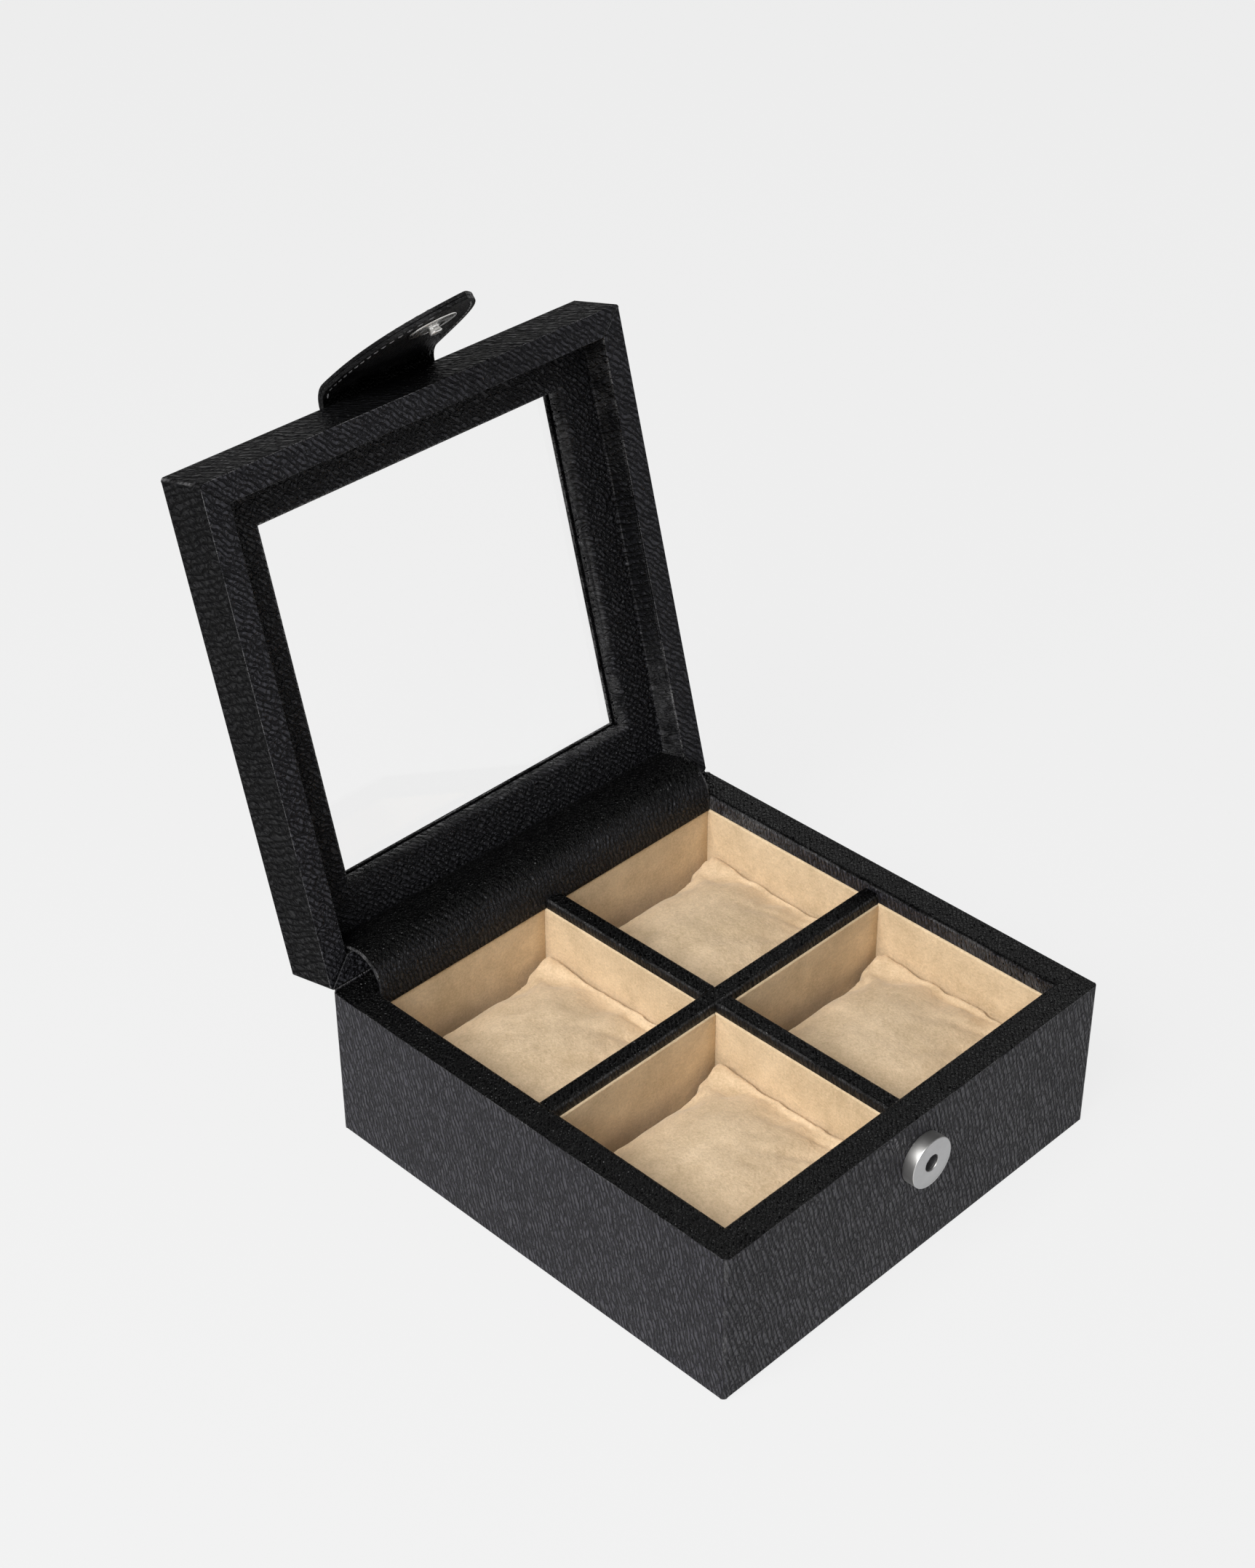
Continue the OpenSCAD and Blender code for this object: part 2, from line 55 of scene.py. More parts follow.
# ---------- driving sizes, the same as the solids' ----------
BOX_W, BOX_D, BASE_H = 175.0, 173.0, 58.0
LEATHER_T, BOARD_T, FLOOR_T, FELT_T = 1.0, 8.5, 3.0, 0.8
DIVIDER_T, DIVIDER_DROP, BAND_H, LINER_T = 6.5, 2.3, 6.0, 1.6
LID_H, LID_RIM_W, LID_RECESS, GLASS_T = 20.5, 9.2, 10.2, 2.0
WINDOW = (24.05, 23.5, 25.8)                   # the window's inset from the lid's sides, front and rear
LID_OPEN, RIM_GAP = 104.4, 0.4                 # degrees, and the gap between the closed rims
HINGE_X, HINGE_W, NOTCH_R, LEAF_L = 48.0, 28.0, 2.25, 8.4
STRIP_T, STRIP_R = 1.0, 10.8                   # the hinge strip, and the outside of its bulge
TAB_W, TAB_LAYER, TAB_ROOT, TAB_REACH = 47.0, 1.25, 13.0, 56.0
TAB_BEND_R, TAB_LIFT, TAB_TIP_LIFT = 6.8, 30.0, 24.0   # degrees from hanging, past the bend and at the tip
TAB_SNAP_AT, SNAP_R, SNAP_OUT, SOCKET_R = 33.5, 9.0, 4.6, 3.0

# ---------- places worked out from them ----------
HALF_W, HALF_D = BOX_W / 2, BOX_D / 2
RIM_W = BOARD_T + 2 * LEATHER_T                # the base's rim, skin to skin
BAND_X, BAND_Y, BAND_LOW = HALF_W - RIM_W, HALF_D - RIM_W, BASE_H - BAND_H   # the leather band inside it
DIVIDER_TOP = BASE_H - DIVIDER_DROP
CORE_T = DIVIDER_T - 2 * LEATHER_T             # the board inside a divider
CELL_W, CELL_D = (half - LEATHER_T - BOARD_T - CORE_T / 2 for half in (HALF_W, HALF_D))   # a compartment
CELL_X, CELL_Y = (CORE_T + CELL_W) / 2, (CORE_T + CELL_D) / 2                              # and its middle
FLOOR_Z = FELT_T + FLOOR_T
CUSHION_Z = FLOOR_Z + LINER_T + 0.3            # a cushion's underside
PANE_Z = LID_H - GLASS_T - 2.6                 # the glass's underside, with its top 2.6 below the lid's
socket_low, socket_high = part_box("snap_socket_cup")
SNAP_Z = (socket_low[2] + socket_high[2]) / 2 / MM
CORNERS = {"front_left": (-1, -1), "front_right": (1, -1), "rear_left": (-1, 1), "rear_right": (1, 1)}

# the hinge line, and two ways at the open lid's rear wall: square to it, and along it from the rim inwards
HINGE_Y, HINGE_Z = HALF_D, BASE_H + RIM_GAP / 2
WALL_LEAN = math.radians(180 - LID_OPEN)
INTO_LID = Vector((0, math.cos(WALL_LEAN), math.sin(WALL_LEAN)))
UP_WALL = Vector((0, math.sin(WALL_LEAN), -math.cos(WALL_LEAN)))

# the hinge strip: its bulge lies between the base's band and that wall, and its straight end goes up the
# wall to just short of the window's frame
STRIP_X, STRIP_Y = BAND_X - 0.4, BAND_Y - STRIP_T + STRIP_R    # half its width, and its bulge's centre
STRIP_FAR = LID_RIM_W + 0.3 + STRIP_T                          # its far side from the lid's rear face
STRIP_Z = HINGE_Z + (STRIP_FAR - STRIP_R - (STRIP_Y - HINGE_Y) * INTO_LID.y) / INTO_LID.z
STRIP_CENTRE = Vector((0, STRIP_Y, STRIP_Z))
BULGE_UP_WALL = (STRIP_CENTRE - Vector((0, HINGE_Y, HINGE_Z))).dot(UP_WALL)
STRIP_END = LID_RECESS - 0.2 + RIM_GAP / 2 - BULGE_UP_WALL

# from the closed lid's own frame, with its rim at z = 0, to its place when it is open
OPEN_LID = (Matrix.Translation((0, HINGE_Y, HINGE_Z)) @ Matrix.Rotation(math.radians(-LID_OPEN), 4, "X")
            @ Matrix.Translation((0, -HINGE_Y, RIM_GAP / 2)))
LID_TURN = (LID_OPEN, 0, 0)                    # degrees that bring a lid piece's own upright to Z


# ---------- shader maths ----------
def in_radians(turn):
    return tuple(math.radians(angle) for angle in turn)


def opaque(value):
    """A colour of three channels with full alpha; anything else as it is."""
    return (*value, 1) if isinstance(value, tuple) and len(value) == 3 else value


def times(colour, *factors):
    """A colour with its channels multiplied, by one factor or by one for each channel."""
    factors = factors * 3 if len(factors) == 1 else factors
    return tuple(channel * factor for channel, factor in zip(colour, factors))


class Value:
    """One socket of a finish's nodes; arithmetic on it adds Math nodes."""

    def __init__(self, finish, socket):
        self.finish, self.socket = finish, socket

    def maths(self, operation, *others):
        return self.finish.node("ShaderNodeMath", {"operation": operation}, dict(enumerate((self, *others))))

    def __add__(self, other):
        return self.maths("ADD", other)

    def __sub__(self, other):
        return self.maths("SUBTRACT", other)

    def __rsub__(self, other):
        return self.finish.node("ShaderNodeMath", {"operation": "SUBTRACT"}, {0: other, 1: self})

    def __mul__(self, other):
        return self.maths("MULTIPLY", other)

    def __abs__(self):
        return self.maths("ABSOLUTE")

    __radd__, __rmul__ = __add__, __mul__

    def at_most(self, other):
        return self.maths("MINIMUM", other)

    def at_least(self, other):
        return self.maths("MAXIMUM", other)

    def between(self, low, high, smooth=True):
        """0 below low, 1 above high, and eased between them; low may be above high."""
        easing = "SMOOTHSTEP" if smooth else "LINEAR"
        return self.finish.node("ShaderNodeMapRange", {"interpolation_type": easing},
                                {"Value": self, "From Min": low, "From Max": high, "To Min": 0, "To Max": 1})


class Finish:
    """A material with one Principled shader; constants go straight on its sockets."""

    def __init__(self, name, **constants):
        self.material = bpy.data.materials.new(name)
        self.material.use_nodes = True
        self.tree = self.material.node_tree
        self.tree.nodes.clear()
        self.shader = self.tree.nodes.new("ShaderNodeBsdfPrincipled")
        self.output = self.tree.nodes.new("ShaderNodeOutputMaterial")
        self.tree.links.new(self.shader.outputs[0], self.output.inputs[0])
        for key, value in constants.items():
            self.put(key.replace("_", " ").title().replace("Ior", "IOR"), value)

    def put(self, name, value):
        """Gives one of the shader's sockets a constant or a link."""
        socket = self.shader.inputs[name]
        if isinstance(value, Value):
            self.tree.links.new(value.socket, socket)
        else:
            socket.default_value = opaque(value)

    def node(self, kind, settings=None, inputs=None, out=0):
        """Any other node, with its settings, and its sockets' constants or links."""
        made = self.tree.nodes.new(kind)
        for key, value in (settings or {}).items():
            setattr(made, key, value)
        for key, value in (inputs or {}).items():
            if isinstance(value, Value):
                self.tree.links.new(value.socket, made.inputs[key])
            else:
                made.inputs[key].default_value = value
        return Value(self, made.outputs[out])

    def place(self, turn=(0, 0, 0), move=(0, 0, 0)):
        """Object coordinates in metres, turned in degrees, then moved."""
        at = self.node("ShaderNodeTexCoord", out="Object")
        return self.node("ShaderNodeMapping",
                         inputs={"Vector": at, "Location": move, "Rotation": in_radians(turn)})

    def facing(self, turn=(0, 0, 0)):
        """The surface's own normal, turned as place() turns a point."""
        normal = self.node("ShaderNodeTexCoord", out="Normal")
        return self.node("ShaderNodeMapping", {"vector_type": "VECTOR"},
                         {"Vector": normal, "Rotation": in_radians(turn)})

    def stretch(self, at, scale):
        return self.node("ShaderNodeMapping", inputs={"Vector": at, "Scale": scale})

    def part(self, vector, axis):
        return self.node("ShaderNodeSeparateXYZ", inputs={0: vector}, out="XYZ".index(axis))

    def grain(self, at, size, detail=3.0, rough=0.5, twist=0.0):
        """Noise from 0 to 1 whose lumps are about size metres across."""
        return self.node("ShaderNodeTexNoise", inputs={"Vector": at, "Scale": 1 / size, "Detail": detail,
                                                       "Roughness": rough, "Distortion": twist})

    def cells(self, at, size, feature="F1", **more):
        """Rounded cells about size metres across: the distance from each one's middle."""
        return self.node("ShaderNodeTexVoronoi", {"feature": feature},
                         {"Vector": at, "Scale": 1 / size, **more})

    def mix(self, factor, a, b):
        colours = {0: factor, 6: opaque(a), 7: opaque(b)}
        return self.node("ShaderNodeMix", {"data_type": "RGBA"}, colours, out=2)

    def bump(self, height, depth, under=None):
        """height from 0 to 1, depth in metres."""
        under = {"Normal": under} if under else {}
        return self.node("ShaderNodeBump",
                         inputs={"Height": height, "Distance": depth, "Strength": 1.0, **under})

    def mix_over(self, factor, other):
        """Another shader, mixed over the finish's own."""
        own = Value(self, self.shader.outputs[0])
        mixed = self.node("ShaderNodeMixShader", inputs={0: factor, 1: own, 2: other})
        self.tree.links.new(mixed.socket, self.output.inputs[0])


# ---------- finishes ----------
EDGE_HIGHLIGHT = (0.13, 0.128, 0.13)                   # a painted highlight along the leather's rounded edges
WRINKLE_LEAN, PEBBLE_DEPTH = 17.0, 0.0002      # degrees from upright, and metres


def on_edges(f, facing):
    """1 on rounded edges of a boxy piece, 0 on its flat sides."""
    x, y, z = (abs(f.part(facing, axis)) for axis in "XYZ")
    return (1 - x.at_least(y).at_least(z)).between(0.03, 0.2)


def lid_rim_marks(f):
    """1 on the lid's lower half, and 1 along the folds at its corners, where the leather is turned in."""
    at = f.place(LID_TURN, tuple(OPEN_LID.inverted().translation * MM))
    from_side = HALF_W * MM - abs(f.part(at, "X"))
    from_front = HALF_D * MM - abs(f.part(at, "Y"))
    low = f.part(at, "Z").between(0.012, 0.010)
    off_fold = abs(from_side - from_front)
    return low, low * (1 - off_fold.between(0.0002, 0.0009))


def leather(name, colour, turn=(0, 0, 0), wrinkle=0.0005, run=0.25, scale=1.0, shine=0.22, rough=0.36,
            edge_highlight=0.6, level_light_and_shade=0.03, mitred=False, raw_ends=None):
    """Grained black leather, with soft wrinkles that lean a little and fine pebbles between them.

    turn brings the piece's own upright to Z, in degrees. wrinkle is the wrinkles' depth in metres, and a
    smaller run makes them longer. scale is the size of the grain, edge_highlight how strongly rounded edges
    get a painted highlight, and level_light_and_shade the colour of level faces beside upright ones, lighter
    or darker as painted light and shade. mitred is for the lid, folded at its corners, and raw_ends is half
    the length of a strip whose painted edge highlight lies at its cut ends and not along its edges.
    """
    f = Finish(name, roughness=0.5, specular_ior_level=shine)
    at, facing = f.place(turn), f.facing(turn)
    slant = f.node("ShaderNodeMapping", inputs={"Vector": at, "Rotation": in_radians((0, WRINKLE_LEAN, 45))})
    slant = f.stretch(slant, (1, 1, run))
    strands = f.node("ShaderNodeTexWave", {"bands_direction": "X"},
                     {"Vector": slant, "Scale": 250 / scale, "Distortion": 7.0, "Detail": 2.0,
                      "Detail Scale": 0.8, "Detail Roughness": 0.6}, out="Fac")
    lines = f.grain(slant, 0.0022 * scale, 2.5, 0.55, 0.35)
    creases = (1 - abs(lines * 2 - 1)).between(0.84, 1.0)
    folds = (1 - strands.between(0.0, 0.5)).at_least(creases * 0.8)
    grit = f.cells(f.stretch(at, (1, 1, 0.6)), 0.0012 * scale, "SMOOTH_F1", Smoothness=0.4)
    pebbles = 1 - grit.between(0.1, 0.7)
    height = (1 - folds) * (0.6 + 0.4 * f.grain(at, 0.009 * scale, 2.0)) + 0.3 * pebbles
    level = abs(f.part(facing, "Z")).between(0.5, 0.9)
    if raw_ends:
        edge = abs(f.part(at, "X")).between((raw_ends - 0.9) * MM, (raw_ends - 0.4) * MM)
    else:
        edge = on_edges(f, facing)
    flat_share = level
    if mitred:
        low, fold = lid_rim_marks(f)
        flat_share = level * low
        height = height - 1.6 * level * fold
        # the sides of each corner fold get the painted edge highlight too
        edge = edge.at_least(level * fold.between(0.1, 0.5) * fold.between(0.9, 0.5))
    f.put("Normal", f.bump(height, wrinkle, f.bump(pebbles, PEBBLE_DEPTH)))
    # tone is darkest in the folds, as painted shade in the creases, and lighter on the pebbles
    tone = 0.75 * (1 - folds) + 0.25 * pebbles
    # upright and level faces get their own colours, lit and shaded copies of one leather as painted light and
    # shade
    side = f.mix(tone.between(0.05, 0.9, smooth=False), times(colour, 0.3), times(colour, 1.4, 1.4, 1.42))
    flat = f.mix(tone.between(0.1, 0.9, smooth=False), times(colour, 0.35 * level_light_and_shade),
                 times(colour, 1.5 * level_light_and_shade))
    # the painted edge highlight, broken up by noise
    highlight_breakup = f.grain(at, 0.012, 4.0, 0.7).between(0.35, 0.65)
    f.put("Base Color", f.mix(edge * highlight_breakup * edge_highlight, f.mix(flat_share, side, flat), EDGE_HIGHLIGHT))
    f.put("Roughness", rough + 0.25 * folds + 0.12 * f.grain(at, 0.03, 3.0) - 0.16 * level)
    return f


def suede(name, colour, swell):
    """Short-napped suede: brushed patches, a fine nap, and soft lumps swell metres deep."""
    f = Finish(name, roughness=0.9, specular_ior_level=0.15, sheen_weight=0.35, sheen_roughness=0.45,
               sheen_tint=(1.0, 0.93, 0.8))
    at = f.place()
    brushed = f.grain(at, 0.022, 4.0, 0.6, 0.6)
    clouds = f.grain(at, 0.007, 4.0, 0.6)
    nap = f.grain(at, 0.0008, 3.0, 0.75)
    speck = f.cells(at, 0.0011)
    streaks = f.grain(f.stretch(at, (1, 1, 3.2)), 0.0016, 2.0, 0.6)
    tone = 0.3 * brushed + 0.2 * clouds + 0.34 * nap + 0.16 * streaks
    dark, light = times(colour, 0.76, 0.73, 0.68), times(colour, 1.1, 1.1, 1.12)
    f.put("Base Color", f.mix(tone.between(0.4, 0.61, smooth=False), dark, light))
    f.put("Roughness", 0.82 + 0.14 * nap)
    f.put("Normal", f.bump(clouds, swell, f.bump(0.6 * nap + 0.25 * streaks + 0.15 * speck, 0.0003)))
    return f


def metal(name, colour, rough, brushed=0.0):
    """Plated metal with faint smudges and, where it is brushed, fine lines."""
    f = Finish(name, metallic=1.0, roughness=rough)
    at = f.place()
    lines = f.grain(f.stretch(at, (1, 8, 1)), 0.0012, 3.0)
    smudge = f.grain(at, 0.006, 3.0)
    f.put("Base Color", f.mix(smudge.between(0.3, 0.7), times(colour, 0.92), colour))
    f.put("Roughness", rough + 0.1 * smudge + brushed * lines)
    f.put("Normal", f.bump(lines, 0.000004 + 0.00001 * brushed))
    return f


def fibrous(name, dark, light, size, detail, depth, rough=0.5, twist=0.0, along=(1, 1, 1), turn=(0, 0, 0),
            **constants):
    """Board, felt or thread: one grain of fibres gives both its colour and its relief."""
    f = Finish(name, **constants)
    fibres = f.grain(f.stretch(f.place(turn), along), size, detail, rough, twist)
    f.put("Base Color", f.mix(fibres.between(0.3, 0.7), dark, light))
    f.put("Normal", f.bump(fibres, depth))
    return f


def clear_glass():
    """Clear glass that lets light through to what is behind it."""
    f = Finish("clear_glass", base_color=(1.0, 1.0, 1.0), roughness=0.0, ior=1.25, transmission_weight=1.0)
    clear = f.node("ShaderNodeBsdfTransparent")
    f.mix_over(f.node("ShaderNodeLightPath", out="Is Shadow Ray") * 0.95, clear)
    return f


# Copies of one black leather: the lid's, the flange's, the strip's, the divider's and the tab's colours are
# darker than the base's, as painted shade on those parts
black_leather = leather("black_leather", (0.031, 0.030, 0.036), wrinkle=0.0008, run=0.32, scale=0.95)
lid_leather_finish = leather("black_leather_lid", (0.0034, 0.0034, 0.0039), LID_TURN, wrinkle=0.0009, run=0.6,
                             scale=1.4, shine=0.06, edge_highlight=1.0, level_light_and_shade=7.6, mitred=True)
flange_leather = leather("black_leather_flange", (0.007, 0.007, 0.008), LID_TURN, wrinkle=0.0011, run=0.6,
                         scale=1.35, shine=0.14, edge_highlight=0.25, level_light_and_shade=2.2)
strip_leather = leather("black_leather_strip", (0.016, 0.016, 0.018), wrinkle=0.0008, run=1.0, scale=0.95,
                        shine=0.2, rough=0.42, edge_highlight=0.8, raw_ends=STRIP_X)
divider_finish = leather("black_leather_divider", (0.010, 0.010, 0.011), edge_highlight=0.3)
tab_leather = leather("black_leather_tab", (0.003, 0.003, 0.0034), LID_TURN, wrinkle=0.0001, run=1.0,
                      scale=0.8, shine=0.1, edge_highlight=0.1)
suede_wall = suede("beige_suede_wall", (0.75, 0.585, 0.38), 0.00035)
suede_pillow = suede("beige_suede_pillow", (0.73, 0.565, 0.375), 0.0007)
nickel = metal("nickel", (0.74, 0.73, 0.71), 0.22)
nickel_matt = metal("nickel_matt", (0.5, 0.5, 0.505), 0.4, 0.15)
nickel_side = metal("nickel_side", (0.78, 0.77, 0.75), 0.38)
magnet = metal("magnet", (0.2, 0.2, 0.21), 0.5)
PRESSED = {"size": 0.0025, "detail": 5.0, "depth": 0.0001, "rough": 0.7, "along": (1, 1, 4), "roughness": 0.8}
fibreboard = fibrous("fibreboard", (0.36, 0.26, 0.16), (0.5, 0.38, 0.25), **PRESSED)
# the lid's boards are dyed dark, because their edges are seen through the glass
dyed_board = fibrous("dyed_fibreboard", (0.006, 0.006, 0.006), (0.014, 0.013, 0.013), **PRESSED)
felt = fibrous("black_felt", (0.012, 0.012, 0.014), (0.05, 0.05, 0.054), 0.0008, 4.0, 0.00025, rough=0.75,
               twist=1.5, roughness=0.95, sheen_weight=0.2)
thread = fibrous("grey_thread", (0.13, 0.13, 0.135), (0.27, 0.27, 0.275), 0.0004, 2.0, 0.00008, turn=LID_TURN,
                 roughness=0.7)
glass = clear_glass()


# ---------- mesh helpers ----------
def as_object(bm, name, unit=MM):
    """A bmesh becomes a linked object; unit is the size in metres of the bmesh's own unit."""
    bmesh.ops.scale(bm, vec=(unit, unit, unit), verts=bm.verts)
    mesh = bpy.data.meshes.new(name)
    bm.to_mesh(mesh)
    bm.free()
    made = bpy.data.objects.new(name, mesh)
    bpy.context.scene.collection.objects.link(made)
    return made


def finished_mesh(piece, all_layers=False):
    """A new mesh of a piece as its modifiers leave it."""
    graph = bpy.context.evaluated_depsgraph_get()
    return bpy.data.meshes.new_from_object(piece.evaluated_get(graph), preserve_all_data_layers=all_layers,
                                           depsgraph=graph)


def cut_away(piece, cutters):
    """Takes closed shapes out of a piece."""
    for cutter in cutters:
        cut = piece.modifiers.new("cut", "BOOLEAN")
        cut.operation, cut.object, cut.solver = "DIFFERENCE", cutter, "EXACT"
    piece.data = finished_mesh(piece, all_layers=True)
    piece.modifiers.clear()
    for cutter in cutters:
        bpy.data.objects.remove(cutter)


def to_piece(bm, name, finish, body, replaced=(), cutters=(), flat_faces=True):
    """A bmesh in millimetres becomes a named piece in a finish, which stands for the solids replaced.

    It rides on body, unless that is None, and cutters are closed shapes that are taken out of it.
    """
    piece = as_object(bm, name)
    piece.data.materials.append(finish.material)
    piece.data.polygons.foreach_set("use_smooth", [True] * len(piece.data.polygons))
    if cutters:
        cut_away(piece, cutters)
    if flat_faces:
        piece.modifiers.new("even_shading", "WEIGHTED_NORMAL").keep_sharp = True
    if replaced:
        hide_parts(*replaced)
    if body:
        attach(piece, body)
    return piece


def bevel(bm, edges, radius, segments, clamp=False):
    bmesh.ops.bevel(bm, geom=edges, offset=radius, offset_type="OFFSET", segments=segments, profile=0.5,
                    affect="EDGES", material=-1, clamp_overlap=clamp)


def span(edge, axis):
    """How far an edge reaches along an axis."""
    return abs(edge.verts[0].co[axis] - edge.verts[1].co[axis])


def above(edge, z):
    return min(v.co.z for v in edge.verts) > z


def extruded(bm, line):
    """Extrudes a line of edges; gives the new points and the new line."""
    made = bmesh.ops.extrude_edge_only(bm, edges=line)["geom"]
    points = [g for g in made if isinstance(g, bmesh.types.BMVert)]
    edges = [g for g in made if isinstance(g, bmesh.types.BMEdge)]
    return points, [e for e in edges if e.verts[0] in points and e.verts[1] in points]


def joined(parts):
    """Several bmeshes as one."""
    whole = bmesh.new()
    for part in parts:
        mesh = bpy.data.meshes.new("part")
        part.to_mesh(mesh)
        part.free()
        whole.from_mesh(mesh)
        bpy.data.meshes.remove(mesh)
    return whole


def rim_loop(insets, z):
    """The four corners of a rectangle inset from the box's sides, front and rear."""
    side, front, rear = insets if isinstance(insets, tuple) else (insets,) * 3
    return {(sx, sy): Vector((sx * (HALF_W - side), HALF_D - rear if sy > 0 else -HALF_D + front, z))
            for sx in (-1, 1) for sy in (-1, 1)}


def ring(stations, rounding, segments, corner=0.0):
    """A closed frame whose section runs through stations (insets, z).

    Each station's line is rounded by its own radius, and the tall lines at the outer corners by corner.
    """
    bm = bmesh.new()
    marks = bm.edges.layers.float.new("rounding")
    place = rim_loop(*stations[0])
    verts = [bm.verts.new(place[side]) for side in ((-1, -1), (1, -1), (1, 1), (-1, 1))]
    loops = [[bm.edges.new((verts[i], verts[(i + 1) % 4])) for i in range(4)]]
    for station in stations[1:]:
        place = rim_loop(*station)
        points, loop = extruded(bm, loops[-1])
        for v in points:
            v.co = place[(1 if v.co.x > 0 else -1, 1 if v.co.y > 0 else -1)]
        loops.append(loop)
    bmesh.ops.bridge_loops(bm, edges=loops[0] + loops[-1])
    bmesh.ops.recalc_face_normals(bm, faces=bm.faces)
    for loop, radius in zip(loops, rounding):
        for e in loop:
            e[marks] = radius
    tall, near = 15, 0.1
    for e in bm.edges:
        x, y, _ = e.verts[0].co
        if e[marks] == 0 and span(e, 2) > tall and abs(x) > HALF_W - near and abs(y) > HALF_D - near:
            e[marks] = corner
    round_marked(bm, marks, segments)
    return bm


def round_marked(bm, marks, segments):
    """Bevels the marked lines by their radii, widest first."""
    near = 1e-3
    for radius in sorted({round(e[marks], 4) for e in bm.edges if e[marks] > 0}, reverse=True):
        bevel(bm, [e for e in bm.edges if abs(e[marks] - radius) < near], radius, segments, clamp=True)
        for e in bm.edges:
            if abs(e[marks] - radius) < near:
                e[marks] = 0


def box_mesh(low, high):
    bm = bmesh.new()
    bmesh.ops.create_cube(bm, size=1)
    low, high = Vector(low), Vector(high)
    for v in bm.verts:
        v.co = Vector(((low + high)[i] / 2 + v.co[i] * (high - low)[i] for i in range(3)))
    return bm


def add_bar(bm, radius, x0, x1, z, segments):
    """A round bar along X, over the hinges."""
    middle = Matrix.Translation(((x0 + x1) / 2, HINGE_Y, z)) @ Matrix.Rotation(math.pi / 2, 4, "Y")
    bmesh.ops.create_cone(bm, cap_ends=True, segments=segments, radius1=radius, radius2=radius, depth=x1 - x0,
                          matrix=middle)


def hinge_notches(z, low, high, place=Matrix()):
    """Rooms for the barrels and the leaves at both hinges, as cutters."""
    barrel_half, leaf_half, leaf_room = HINGE_W / 2 + 0.3, HINGE_W / 2 + 0.1, 0.1
    made = []
    for middle in (-HINGE_X, HINGE_X):
        barrel = bmesh.new()
        add_bar(barrel, NOTCH_R, middle - barrel_half, middle + barrel_half, z, 40)
        leaf = box_mesh((middle - leaf_half, HINGE_Y - LEAF_L - leaf_room, low),
                        (middle + leaf_half, HINGE_Y + 1, high))
        for cutter in (barrel, leaf):
            cutter.transform(place)
            made.append(as_object(cutter, "cutter"))
    return made


# ---------- base ----------
def base_leather():
    """The base's skin: turned under the boards, outside, rim and the band inside the rim."""
    under, hidden = 4.0, RIM_W - 0.9           # how far it is turned under, and its unseen inner side
    bm = ring([(under, FELT_T), (0, FELT_T), (0, BASE_H), (RIM_W, BASE_H), (RIM_W, BAND_LOW),
               (hidden, BAND_LOW), (hidden, FELT_T + LEATHER_T), (under, FELT_T + LEATHER_T)],
              rounding=[0, 1.2, 1.5, 1.3, 0.25, 0, 0, 0], segments=5, corner=2.0)
    to_piece(bm, "base_leather", black_leather, "base", ["base_cover"],
             cutters=hinge_notches(HINGE_Z, BASE_H - 1, BASE_H + 1))


def divider_strip(low, high):
    """One padded strip over a divider, rounded along its top edges and a little at its ends."""
    strip = box_mesh(low, high)
    along = 0 if high[0] - low[0] > high[1] - low[1] else 1
    tops = [e for e in strip.edges if above(e, low[2] + 1) and span(e, along) > 9]
    bevel(strip, tops, 1.25, 5)
    ends = [e for e in strip.edges if above(e, DIVIDER_TOP - 1.6) and span(e, along) < 0.01]
    bevel(strip, ends, 0.35, 2)
    return strip


def divider_leather():
    """Padded leather over the dividers: one long strip and two that butt against it."""
    half, foot, lower, slit = DIVIDER_T / 2, BAND_LOW - 0.4, DIVIDER_TOP - 0.1, 0.12
    bm = joined([divider_strip((-BAND_X, -half, foot), (BAND_X, half, DIVIDER_TOP)),
                 divider_strip((-half, -BAND_Y, foot), (half, -half - slit, lower)),
                 divider_strip((-half, half + slit, foot), (half, BAND_Y - STRIP_T, lower))])
    to_piece(bm, "divider_leather", divider_finish, "base", ["divider_cover"])


LINING_TOP = BAND_LOW - 0.05


def lining_panel(low, high, seed):
    """A suede-covered card, slightly uneven; a wall's has a soft rounded top."""
    panel, pitch = box_mesh(low, high), 2.5
    bevel(panel, [e for e in panel.edges if above(e, LINING_TOP - 0.1)], 0.7, 4)
    longest = max((high[i] - low[i], i) for i in (0, 1))[1]
    for axis in (longest, 2):
        across = Vector([1 if i == axis else 0 for i in range(3)])
        for k in range(1, int((high[axis] - low[axis]) / pitch)):
            bmesh.ops.bisect_plane(panel, geom=[*panel.verts, *panel.edges, *panel.faces],
                                   plane_co=Vector(low) + k * pitch * across, plane_no=across)
    panel.normal_update()
    for v in panel.verts:
        inside = min((v.co[i] - low[i]) * (high[i] - v.co[i]) / ((high[i] - low[i]) ** 2 / 4)
                     for i in (longest, 2))                         # 0 at the card's edges, 1 in its middle
        swell = 0.22 * noise.noise(v.co * 0.05 + seed) + 0.1 * noise.noise(v.co * 0.16)
        v.co += v.normal * swell * max(0.0, min(1.0, inside * 3))
    return panel


